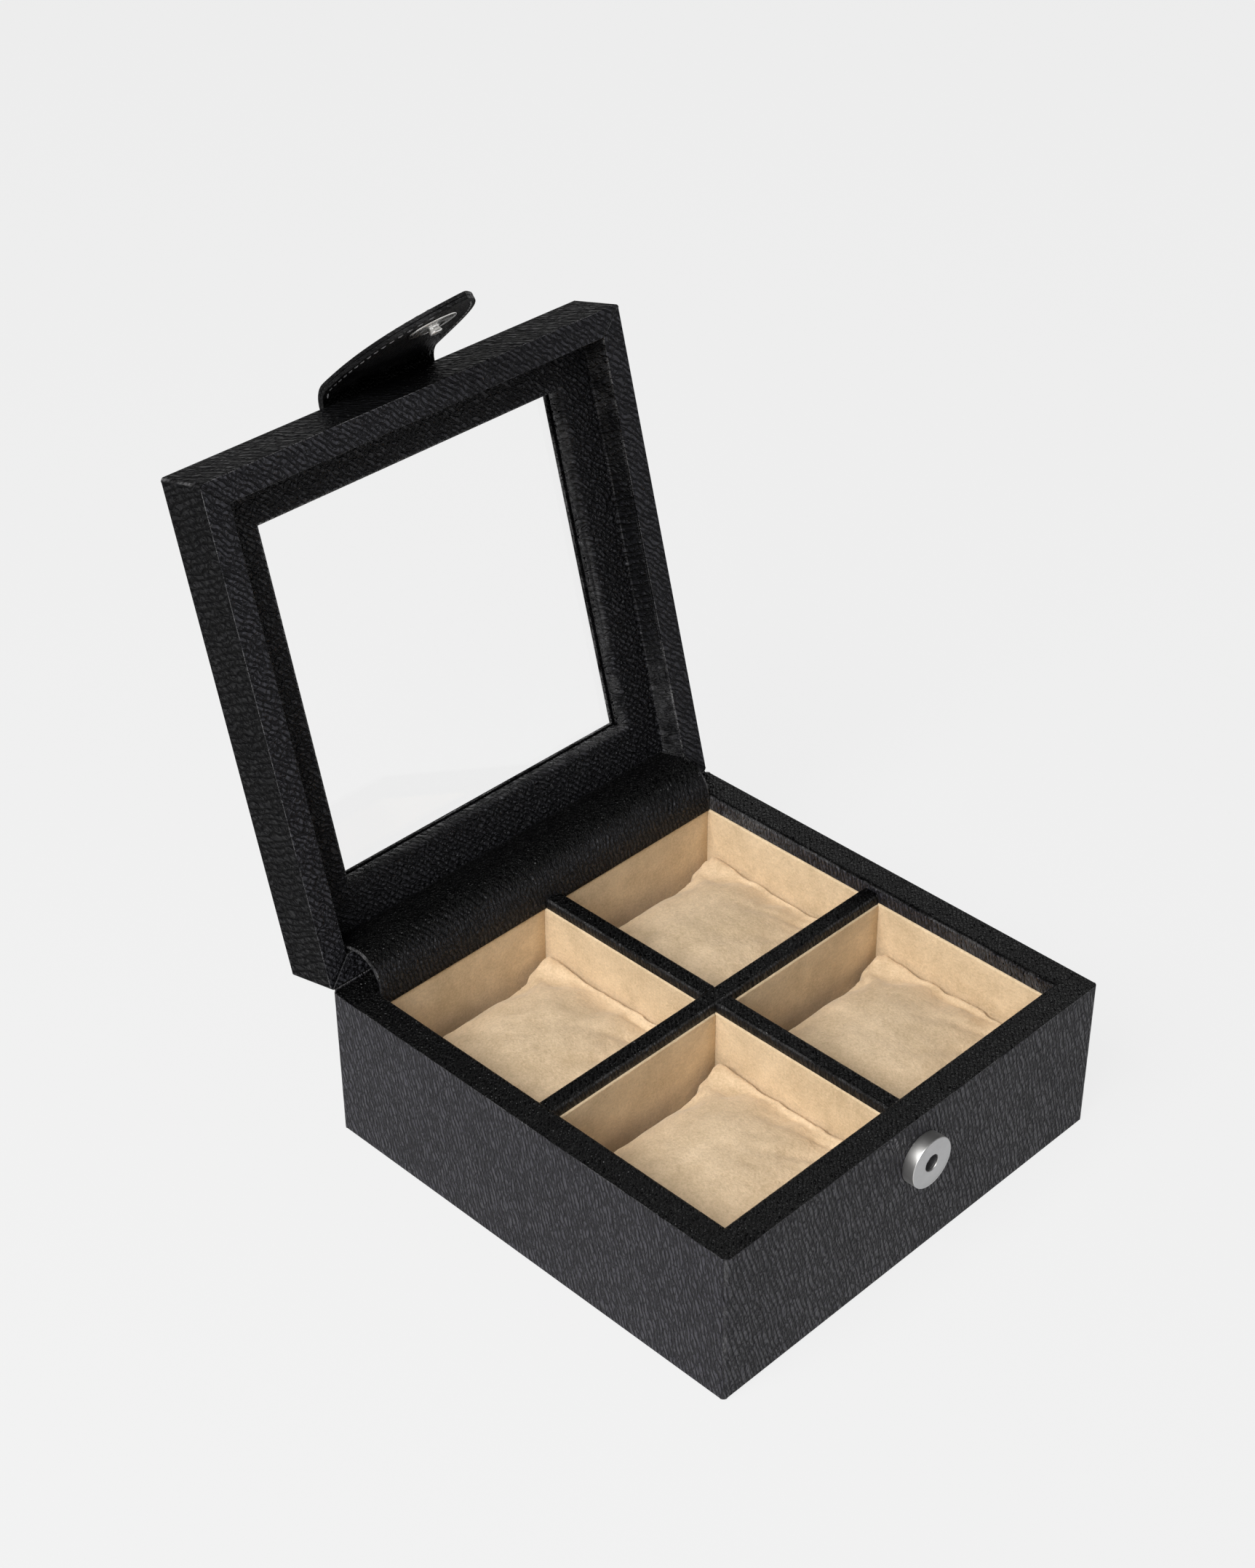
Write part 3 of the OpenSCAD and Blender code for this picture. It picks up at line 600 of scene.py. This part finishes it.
def lining(place):
    """Suede-covered card on the four walls and the floor of one compartment."""
    sx, sy = CORNERS[place]
    slit = 0.08                                # between the cards
    x0, x1 = sx * CELL_X - CELL_W / 2, sx * CELL_X + CELL_W / 2
    y0, y1 = sy * CELL_Y - CELL_D / 2, sy * CELL_Y + CELL_D / 2
    inner_x0, inner_x1, inner_y0, inner_y1 = x0 + LINER_T, x1 - LINER_T, y0 + LINER_T, y1 - LINER_T
    panels = [((x0, y0, FLOOR_Z), (inner_x0, y1, LINING_TOP)),
              ((inner_x1, y0, FLOOR_Z), (x1, y1, LINING_TOP)),
              ((inner_x0 + slit, y0, FLOOR_Z), (inner_x1 - slit, inner_y0, LINING_TOP)),
              ((inner_x0 + slit, inner_y1, FLOOR_Z), (inner_x1 - slit, y1, LINING_TOP)),
              ((inner_x0, inner_y0, FLOOR_Z), (inner_x1, inner_y1, FLOOR_Z + LINER_T))]
    seed = Vector((sx * 7, sy * 3, 0))
    bm = joined([lining_panel(low, high, seed) for low, high in panels])
    to_piece(bm, "lining_" + place, suede_wall, "base", ["liner_" + place])


# ---------- lid ----------
def lid_piece(bm, name, finish, replaced):
    """A leather of the closed lid, put in the open place, with room left for the hinges."""
    bm.transform(OPEN_LID)
    to_piece(bm, name, finish, "lid", [replaced], cutters=hinge_notches(-RIM_GAP / 2, -1, 1, OPEN_LID))


def lid_leather():
    """The lid's outer skin: top, outside and rim, turned in round the glass."""
    glass_top, turned_in = PANE_Z + GLASS_T, 2.2
    seam, hidden = LID_RIM_W - 0.15, LID_RIM_W - 1.4
    bm = ring([(WINDOW, glass_top), (WINDOW, LID_H), (0, LID_H), (0, 0), (seam, 0), (seam, turned_in),
               (hidden, turned_in), (hidden, glass_top)],
              rounding=[0, 1.3, 1.5, 0.9, 0.9, 0, 0, 0], segments=5, corner=1.6)
    lid_piece(bm, "lid_leather", lid_leather_finish, "lid_cover")


def lid_flange_leather():
    """The skin inside the lid: its walls, the frame's face and the rolled edge round the window."""
    hidden, low = LID_RIM_W - 1, 0.75
    bm = ring([(hidden, low), (LID_RIM_W, low), (LID_RIM_W, LID_RECESS), (WINDOW, LID_RECESS),
               (WINDOW, PANE_Z), (hidden, PANE_Z)], rounding=[0, 0.4, 0.9, 2.4, 0, 0], segments=6)
    lid_piece(bm, "lid_flange_leather", flange_leather, "lid_lining")


# ---------- hinge line ----------
def hinge_fold():
    """The leather folded along the hinge line, between the barrels and out to both sides."""
    bm = bmesh.new()
    radius, room, end = 0.62, 0.4, HALF_W - 1.5
    inner, outer = HINGE_X - HINGE_W / 2 - room, HINGE_X + HINGE_W / 2 + room
    for x0, x1 in ((-end, -outer), (-inner, inner), (outer, end)):
        add_bar(bm, radius, x0, x1, HINGE_Z, 24)
    to_piece(bm, "hinge_fold", black_leather, "base")


def strip_relief(x, turn):
    """How far the strip stands out at x, turn degrees round its bulge: a slow sag, less the creases.

    The creases fan out from the middle, and are deepest towards the left and near the right end.
    """
    depth, pitch = 0.85, 2.3
    fan = x + 0.055 * (turn - 50) * (1 if x < 0 else -1)
    share = max(math.exp(-((x + 44) / 24) ** 2), 0.8 * math.exp(-((x - 64) / 15) ** 2), 0.25)
    drift = noise.noise(Vector((x * 0.11, turn * 0.02, 3))) * 3.0
    crease = max(0.0, math.sin(2 * math.pi * fan / pitch + drift * 2)) ** 2
    strength = share * (0.9 + 1.2 * noise.noise(Vector((x * 0.2, turn * 0.06, 9))))
    slow = noise.noise(Vector((x * 0.03, turn * 0.02, 1)))
    fine = noise.noise(Vector((x * 0.12, turn * 0.05, 5)))
    return -depth * crease * max(0.0, strength) + (0.35 * slow + 0.12 * fine)


def hinge_strip_leather():
    """A sheet of leather from the band of the base, up over the hinges, to the lid's rear wall."""
    bm = bmesh.new()
    columns, foot_rows, bulge_rows, end_rows = 360, 3, 24, 5
    places = [-STRIP_X + 2 * STRIP_X * i / columns for i in range(columns + 1)]
    foot = [bm.verts.new((x, BAND_Y - STRIP_T, BAND_LOW)) for x in places]
    line = [bm.edges.new(foot[i:i + 2]) for i in range(columns)]
    for _ in range(foot_rows):
        points, line = extruded(bm, line)
        bmesh.ops.translate(bm, vec=(0, 0, (STRIP_Z - BAND_LOW) / foot_rows), verts=points)
    bmesh.ops.spin(bm, geom=[*points, *line], cent=STRIP_CENTRE, axis=(1, 0, 0),
                   angle=-math.radians(LID_OPEN), steps=bulge_rows, use_merge=False)
    bmesh.ops.remove_doubles(bm, verts=bm.verts, dist=0.001)
    reach = max((v.co - STRIP_CENTRE).dot(UP_WALL) for v in bm.verts)
    points = [v for v in bm.verts if (v.co - STRIP_CENTRE).dot(UP_WALL) > reach - 0.01]
    line = [e for e in bm.edges if e.verts[0] in points and e.verts[1] in points]
    for _ in range(end_rows):
        points, line = extruded(bm, line)
        bmesh.ops.translate(bm, vec=UP_WALL * STRIP_END / end_rows, verts=points)
    bm.normal_update()
    for v in bm.verts:
        way = Vector((0, v.co.y - STRIP_Y, v.co.z - STRIP_Z))
        turn = math.degrees(math.atan2(way.z, -way.y))              # 0 at the foot, LID_OPEN at the lid
        on_bulge = max(0.0, min(1.0, min(turn - 2, LID_OPEN - 4 - turn) / 22))
        v.co += way.normalized() * on_bulge * strip_relief(v.co.x, turn)
    bmesh.ops.solidify(bm, geom=bm.faces, thickness=-0.85)
    bmesh.ops.recalc_face_normals(bm, faces=bm.faces)
    piece = to_piece(bm, "hinge_strip_leather", strip_leather, None, ["hinge_strip"], flat_faces=False)
    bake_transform(piece)


# ---------- tab ----------
BEND_L = TAB_BEND_R * math.radians(90 - TAB_LIFT)
TAB_L = BEND_L + TAB_REACH
REACH_R = TAB_REACH / math.radians(TAB_LIFT - TAB_TIP_LIFT)
LIFT = math.radians(TAB_LIFT)
BEND_CENTRE = Vector((0, -TAB_BEND_R))         # out of the lid's front, and up from its top
REACH_CENTRE = BEND_CENTRE + (TAB_BEND_R - REACH_R) * Vector((math.cos(LIFT), math.sin(LIFT)))


def tab_half(s):
    """Half the tab's width at a distance s from the start of its bend."""
    return TAB_W / 2 * max(0.0, 1 - max(0.0, s / TAB_L) ** 2.9) ** 0.92


def tab_point(s, x, out):
    """A point on the tab in the closed lid's frame: s along it, x across, out from its inner face."""
    if s <= 0:
        u, v = s, out
    elif s <= BEND_L:
        angle = math.radians(90) - s / TAB_BEND_R
        u, v = BEND_CENTRE + (TAB_BEND_R + out) * Vector((math.cos(angle), math.sin(angle)))
    else:
        angle = LIFT - (s - BEND_L) / REACH_R
        u, v = REACH_CENTRE + (REACH_R + out) * Vector((math.cos(angle), math.sin(angle)))
    return Vector((x, -HALF_D - u, LID_H + v))


def tab_out(co):
    """The way out of the tab's inner face at a point on it, in the closed lid's frame."""
    at = Vector((-HALF_D - co.y, co.z - LID_H))
    if at.x <= 1e-6:
        return Vector((0, 0, 1))
    way = at - BEND_CENTRE
    if math.atan2(way.y, way.x) < LIFT:
        way = at - REACH_CENTRE
    way.normalize()
    return Vector((0, -way.x, way.y))


def bend_with_tab(piece):
    """Bakes the piece's place into its mesh; it neither stays with the lid nor moves with the tab, and the
    start and end of the tab's bend are worked out but not used.
    """
    start, end = OPEN_LID @ tab_point(0, 0, 0), OPEN_LID @ tab_point(BEND_L, 0, 0)
    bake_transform(piece)


def tab_layer(name, inside, outside, replaced):
    """One layer of the tab, from the lid's top round the bend to the tip."""
    bm = bmesh.new()
    length, least_half = TAB_ROOT + TAB_L * 0.9985, 0.05            # it ends just short of the tip's point
    bmesh.ops.create_grid(bm, x_segments=28, y_segments=76, size=0.5)
    for v in bm.verts:                                              # the grid runs from -0.5 to 0.5 both ways
        s = -TAB_ROOT + length * (v.co.y + 0.5)
        v.co = tab_point(s, 2 * v.co.x * max(tab_half(s), least_half), inside)
    bmesh.ops.remove_doubles(bm, verts=bm.verts, dist=0.02)
    bm.normal_update()
    top = bmesh.ops.extrude_face_region(bm, geom=bm.faces[:])["geom"]
    for v in (g for g in top if isinstance(g, bmesh.types.BMVert)):
        v.co += tab_out(v.co) * (outside - inside)
    bmesh.ops.recalc_face_normals(bm, faces=bm.faces)
    sharp = math.radians(60)
    bevel(bm, [e for e in bm.edges if len(e.link_faces) == 2 and e.calc_face_angle(0) > sharp], 0.32, 3)
    bm.transform(OPEN_LID)
    bend_with_tab(to_piece(bm, name, tab_leather, None, replaced))


def stitch_places():
    """Where the stitches lie: their place along the tab and across it, and their turn from its length."""
    inset, pitch, step = 2.1, 3.3, 0.5
    places = []
    s = -TAB_ROOT + 3.2
    while s < TAB_L - 7:
        for side in (-1, 1):
            x, ahead = (side * (tab_half(at) - inset) for at in (s, s + step))
            places.append((s, x, math.atan2(ahead - x, step)))
        s += pitch
    x = -TAB_W / 2 + inset + 2.5
    while x < TAB_W / 2 - inset - 1.5:
        places.append((-TAB_ROOT + inset, x, math.pi / 2))
        x += pitch
    return places


def tab_stitches():
    """Thread along both edges of the tab and across its root, seen on both faces."""
    bm = bmesh.new()
    shape, sunk = Matrix.Diagonal((0.33, 1.15, 0.3, 1)), 0.02       # half a stitch's width, length and height
    for s, x, lean in stitch_places():
        for out in (sunk, 2 * TAB_LAYER - sunk):
            if out < 1 and s < 0.5:
                continue                                            # this side lies on the lid
            here, ahead = tab_point(s, x, out), tab_point(s + 0.2, x, out)
            up = tab_out(tab_point(s, x, 0))
            along = (ahead - here).normalized()
            way = (along * math.cos(lean) + Vector((1, 0, 0)) * math.sin(lean)).normalized()
            turn = Matrix((up.cross(way), way, up)).transposed().to_4x4()
            bmesh.ops.create_icosphere(bm, subdivisions=2, radius=1,
                                       matrix=Matrix.Translation(here) @ turn @ shape)
    bm.transform(OPEN_LID)
    bend_with_tab(to_piece(bm, "tab_stitches", thread, None, ["tab_stitching"], flat_faces=False))


# ---------- metal ----------
ON_FRONT = Matrix.Translation((0, -HALF_D, SNAP_Z)) @ Matrix.Rotation(math.radians(90), 4, "X")


def arc(r, z, radius, start, end, steps=5):
    """Points round an arc of a profile, between two angles in degrees."""
    angles = (math.radians(start + (end - start) * i / steps) for i in range(steps + 1))
    return [(r + radius * math.cos(a), z + radius * math.sin(a)) for a in angles]


def turned(profile, place, steps=72):
    """A solid turned about +Z from (radius, height) points, whose two ends lie on the axis or are joined."""
    bm = bmesh.new()
    verts = [bm.verts.new((r, 0, z)) for r, z in profile]
    edges = [bm.edges.new(pair) for pair in zip(verts, verts[1:])]
    if profile[0][0] > 0:
        edges.append(bm.edges.new((verts[-1], verts[0])))
    bmesh.ops.spin(bm, geom=[*verts, *edges], cent=(0, 0, 0), axis=(0, 0, 1), angle=2 * math.pi, steps=steps,
                   use_merge=True)
    bmesh.ops.remove_doubles(bm, verts=bm.verts, dist=0.0005)
    bmesh.ops.recalc_face_normals(bm, faces=bm.faces)
    bm.transform(place)
    return bm


def snap_socket():
    """The socket on the base: a polished cup with a matt face, and the magnet's post in its hole."""
    r, h, hole = SNAP_R, SNAP_OUT, SOCKET_R
    profile = [(r - 0.6, 0.05), (r, 0.05), *arc(r - 0.45, h - 0.45, 0.45, 0, 90), (r - 0.95, h),
               (r - 1.1, h - 0.1), (hole + 0.5, h - 0.1), *arc(hole + 0.35, h - 0.45, 0.35, 90, 180),
               (hole, h - 1.2), (hole + 0.3, h - 1.2), (hole + 0.3, h - 0.7), (r - 0.6, h - 0.7)]
    cup = to_piece(turned(profile, ON_FRONT), "snap_cup", nickel_matt, "base", ["snap_socket_cup"])
    cup.data.materials.append(nickel_side.material)
    for face in cup.data.polygons:
        face.material_index = 1 if face.normal.y > -0.5 else 0
    profile = [(0, 1.0), (1.7, 1.0), (1.7, 1.7), *arc(1.25, 2.0, 0.45, 0, 90), (0, 2.6)]
    to_piece(turned(profile, ON_FRONT, 40), "snap_post", nickel, "base", ())


def tab_snap():
    """The plate and stud on the tab's inner face."""
    s, r = BEND_L + TAB_SNAP_AT, SNAP_R - 0.5
    here = tab_point(s, 0, 0)
    back, up = (tab_point(s - 0.2, 0, 0) - here).normalized(), tab_out(here)
    place = (OPEN_LID @ Matrix.Translation(here) @ Matrix((back.cross(up), back, up)).transposed().to_4x4()
             @ Matrix.Rotation(math.pi, 4, "Y"))
    profile = [(0, 0.0), (r, 0.0), *arc(r - 0.35, 0.3, 0.35, 0, 90, 4), (r - 0.9, 0.65), (r - 1.4, 0.86),
               (4.4, 0.86), (3.9, 0.7), (2.9, 0.7), (2.6, 0.86), (0, 0.86)]
    to_piece(turned(profile, place), "tab_plate", nickel, "tab", ["tab_snap_plate"])
    profile = [(0, 0.5), (2.1, 0.5), (2.1, 0.9), (1.85, 1.15), (1.85, 1.6), *arc(1.75, 2.5, 0.55, -20, 90, 6),
               (0, 3.08)]
    to_piece(turned(profile, place, 48), "tab_stud", nickel, "tab", ["tab_snap_stud"])


# ---------- cushions ----------
SEAM_X = 34.7                                  # the sewn ends, from a cushion's middle
PUFF_FRAMES, PUFF_MOST = 20, 0.0022            # frames of cloth, and metres that it may move the skin
# the gathers at a cushion's corners: which corner, how many round a whole turn, and their phase
GATHERS = [((1, -1), 15, 0.4), ((1, 1), 6, 1.1), ((-1, -1), 7, 2.0), ((-1, 1), 6, 0.2)]


def pillow_shape():
    """A stuffed roll: round along its back and front, square at its sewn ends, with an ear at each corner."""
    bm = bmesh.new()
    bmesh.ops.create_cube(bm, size=2)
    bmesh.ops.subdivide_edges(bm, edges=bm.edges[:], cuts=17, use_grid_fill=True)
    half_x, half_y, half_z, middle = 35.3, 33.4, 14.5, CUSHION_Z + 15
    for v in bm.verts:
        u, w, t = v.co                                              # from -1 to 1: across, to the rear, up
        near_end = max(0.0, (abs(u) - 0.34) / 0.66)
        squared = near_end * near_end * (3 - 2 * near_end)          # 0 on the round part, 1 at a sewn end
        power = 3.0 + 6.2 * squared
        length = (abs(w) ** power + abs(t) ** power) ** (1 / power)
        scale = max(abs(w), abs(t)) / length if length > 1e-6 else 1.0
        x = half_x * u * (1 - 0.012 * (1 - w * w) * abs(u) ** 6)
        y = half_y * w * scale * (1 - 0.055 * (1 - squared))
        z = half_z * t * scale
        ear = squared ** 2 * max(0.0, abs(w) - 0.6) / 0.4
        if t > 0:
            z += 2.4 * (1 - u * u) * (1 - w * w)                    # the crown of its top
        if t > 0.2:
            z += 1.2 * ear - squared * (1 - w * w)
        v.co = Vector((x, y, max(z + middle, CUSHION_Z + 0.02)))
    return bm


def puff(piece):
    """Cloth under pressure rounds a cushion, held at its end seams and its foot."""
    rest = [v.co.copy() for v in piece.data.vertices]
    held = piece.vertex_groups.new(name="held")
    for v in piece.data.vertices:
        seam = max(0.0, 1 - abs(abs(v.co.x) - SEAM_X * MM) / 0.002)
        held.add([v.index], 0.55 * seam if v.co.z > 0.012 else 0.9, "REPLACE")
    cloth = piece.modifiers.new("cloth", "CLOTH")
    s = cloth.settings
    s.quality, s.mass, s.air_damping = 6, 0.12, 2.0
    s.tension_stiffness = s.compression_stiffness = 18
    s.shear_stiffness, s.bending_stiffness = 8, 0.06
    s.use_pressure, s.uniform_pressure_force = True, 4.0
    s.shrink_min = -0.05
    s.effector_weights.gravity = 0
    s.vertex_group_mass, s.pin_stiffness = "held", 0.6
    cloth.collision_settings.use_self_collision = False
    cloth.point_cache.frame_start, cloth.point_cache.frame_end = 1, PUFF_FRAMES
    for frame_number in range(1, PUFF_FRAMES + 1):
        bpy.context.scene.frame_set(frame_number)
    piece.data = finished_mesh(piece)
    piece.modifiers.clear()
    bpy.context.scene.frame_set(1)
    for v, home in zip(piece.data.vertices, rest):
        move = v.co - home
        if move.length > PUFF_MOST:
            v.co = home + move * (PUFF_MOST / move.length)


def gathered(co, up, sx, sy, seed):
    """How far a cushion's skin stands out at a point: its end seams, its gathers and the sags of its top."""
    end = math.exp(-((abs(co.x) - 35.2) / 1.6) ** 2)
    move = end * 0.9 * noise.noise(Vector((co.x * 0.1, co.y * 0.13, 4)) + seed)
    for (cx, cy), count, phase in GATHERS:
        away = co.xy - Vector((cx * 36.5, cy * 36.0))
        radius, strength = (31.0, 1.0) if (cx, cy) == (1, -1) else (13.0, 0.45)   # one corner has the most
        near = math.exp(-(away.length / radius) ** 2) * strength
        rays = math.atan2(away.y, away.x) * count + phase + sx * 1.3 + sy * 0.7
        move -= 1.9 * near * max(0.0, math.sin(rays)) ** 2
    move += up * (0.8 * noise.noise(co * 0.045 + seed) + 0.35 * noise.noise(co * 0.13 + seed))
    along_seam = math.exp(-((abs(co.x) - 31) / 6.0) ** 2) * up
    return move - 0.22 * along_seam * max(0.0, math.sin(co.y * 1.05 + 3 * noise.noise(co * 0.08 + seed))) ** 2


def pillow(place):
    """One cushion: an even skin, puffed, then smoothed, gathered and set in its compartment."""
    sx, sy = CORNERS[place]
    skin = as_object(pillow_shape(), "pillow_skin")
    even = skin.modifiers.new("even", "REMESH")
    even.mode, even.voxel_size = "VOXEL", 0.0026
    skin.data = finished_mesh(skin)
    skin.modifiers.clear()
    puff(skin)
    bm = bmesh.new()
    bm.from_mesh(skin.data)
    bpy.data.objects.remove(skin)
    bmesh.ops.scale(bm, vec=(1 / MM, 1 / MM, 1 / MM), verts=bm.verts)
    for _ in range(2):
        bmesh.ops.smooth_vert(bm, verts=bm.verts, factor=0.35,
                              use_axis_x=True, use_axis_y=True, use_axis_z=True)
    bmesh.ops.subdivide_edges(bm, edges=bm.edges[:], cuts=1, use_grid_fill=True, smooth=0.6)
    bm.normal_update()
    seed = Vector((sx * 3.1, sy * 6.3, 0.0))
    limit_x, limit_y = CELL_W / 2 - LINER_T - 0.35, CELL_D / 2 - LINER_T - 0.45
    for v in bm.verts:
        co = v.co + v.normal * gathered(v.co, max(0.0, v.normal.z), sx, sy, seed)
        v.co = (max(-limit_x, min(limit_x, co.x)), max(-limit_y, min(limit_y, co.y)), max(CUSHION_Z, co.z))
    bmesh.ops.translate(bm, vec=(sx * CELL_X, sy * CELL_Y, 0), verts=bm.verts)
    piece = to_piece(bm, "pillow_" + place, suede_pillow, "cushion_" + place + "_body",
                     ["cushion_" + place, "filling_" + place], flat_faces=False)


# ---------- dress the solids that stay, and make the pieces ----------
STAYING = {
    fibreboard: ["base_floor_board", "base_front_board", "base_rear_board", "base_left_board",
                 "base_right_board", "long_divider", "cross_divider"],
    dyed_board: ["lid_front_rail", "lid_rear_rail", "lid_left_rail", "lid_right_rail", "lid_outer_frame",
                 "lid_inner_frame"],
    nickel: ["snap_socket_plate", "snap_socket_washer", "hinge_base_leaves", "hinge_lid_leaves", "hinge_pins",
             "hinge_base_screws", "hinge_lid_screws", "tab_snap_washer"],
    magnet: ["snap_magnet"],
    felt: ["base_felt"],
    glass: ["window_glass"],
}
for finish, names in STAYING.items():
    for name in names:
        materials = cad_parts[name].data.materials
        materials.clear()
        materials.append(finish.material)

base_leather()
divider_leather()
for place in CORNERS:
    lining(place)
lid_leather()
lid_flange_leather()
hinge_fold()
hinge_strip_leather()
tab_layer("tab_outer_layer", TAB_LAYER + 0.02, 2 * TAB_LAYER, ["tab_root", "tab_outer_leather"])
tab_layer("tab_inner_layer", 0.0, TAB_LAYER - 0.02, ["tab_lining_leather"])
tab_stitches()
snap_socket()
tab_snap()
for place in CORNERS:
    pillow(place)


# ---------- floor, studio, light and camera ----------
def pale_floor():
    """A floor that looks one pale tone and keeps a soft shadow."""
    bm = bmesh.new()
    bmesh.ops.create_grid(bm, x_segments=1, y_segments=1, size=6)
    floor = as_object(bm, "floor", unit=1)
    f = Finish("pale_floor", base_color=(0.8, 0.8, 0.8), roughness=0.9, specular_ior_level=0.1)
    camera_ray, glossy_ray, glass_ray = (f.node("ShaderNodeLightPath", out=ray) for ray in
                                         ("Is Camera Ray", "Is Glossy Ray", "Is Transmission Ray"))
    seen = (camera_ray + glossy_ray + glass_ray).at_most(1.0)
    glow = f.node("ShaderNodeEmission", inputs={"Color": (0.885, 0.885, 0.885, 1), "Strength": 1.0})
    f.mix_over(seen * 0.94, glow)
    floor.data.materials.append(f.material)


def studio():
    """The studio round the floor: pale low down, dim overhead."""
    world = bpy.data.worlds.new("studio")
    bpy.context.scene.world = world
    world.use_nodes = True
    tree = world.node_tree
    way = tree.nodes.new("ShaderNodeTexCoord")
    parts = tree.nodes.new("ShaderNodeSeparateXYZ")
    height = tree.nodes.new("ShaderNodeMapRange")
    height.interpolation_type = "SMOOTHSTEP"
    for name, value in (("From Min", 0.08), ("From Max", 0.32), ("To Min", 0.88), ("To Max", 0.05)):
        height.inputs[name].default_value = value
    background = tree.nodes["Background"]
    background.inputs["Color"].default_value = (1, 1, 1, 1)
    tree.links.new(way.outputs["Generated"], parts.inputs[0])
    tree.links.new(parts.outputs["Z"], height.inputs["Value"])
    tree.links.new(height.outputs[0], background.inputs["Strength"])


def softbox(name, at, aim, size, power):
    """A rectangular lamp at a place, aimed at a point, in metres and watts."""
    data = bpy.data.lights.new(name, "AREA")
    data.shape, data.size, data.size_y, data.energy = "RECTANGLE", size[0], size[1], power
    lamp = bpy.data.objects.new(name, data)
    bpy.context.scene.collection.objects.link(lamp)
    lamp.location = at
    lamp.rotation_mode = "QUATERNION"
    lamp.rotation_quaternion = (Vector(at) - Vector(aim)).to_track_quat("Z", "Y")


def camera():
    """The camera: solved place and turn, 36 mm on the long side."""
    place, (azimuth, elevation, roll) = (-0.50355, -0.46271, 0.61495), in_radians((-45.083, 34.907, -0.336))
    data = bpy.data.cameras.new("camera")
    data.lens, data.sensor_width, data.clip_start, data.clip_end = 62.88, 36.0, 0.01, 20.0
    made = bpy.data.objects.new("camera", data)
    bpy.context.scene.collection.objects.link(made)
    back = Vector((math.sin(azimuth) * math.cos(elevation), -math.cos(azimuth) * math.cos(elevation),
                   math.sin(elevation)))
    right = (-back).cross(Vector((0, 0, 1))).normalized()
    up = right.cross(-back)
    turn = Matrix((right * math.cos(roll) + up * math.sin(roll),
                   -right * math.sin(roll) + up * math.cos(roll), back)).transposed()
    made.matrix_world = Matrix.Translation(place) @ turn.to_4x4()
    bpy.context.scene.camera = made


pale_floor()
studio()
softbox("key", (-0.9, -0.14, 1.05), (0, 0, 0.06), (0.8, 0.8), 23)
softbox("front", (0.1, -1.2, 0.5), (0, 0, 0.05), (1.0, 0.6), 1)
camera()
bpy.context.scene.view_settings.view_transform = "Standard"

bpy.context.view_layer.update()
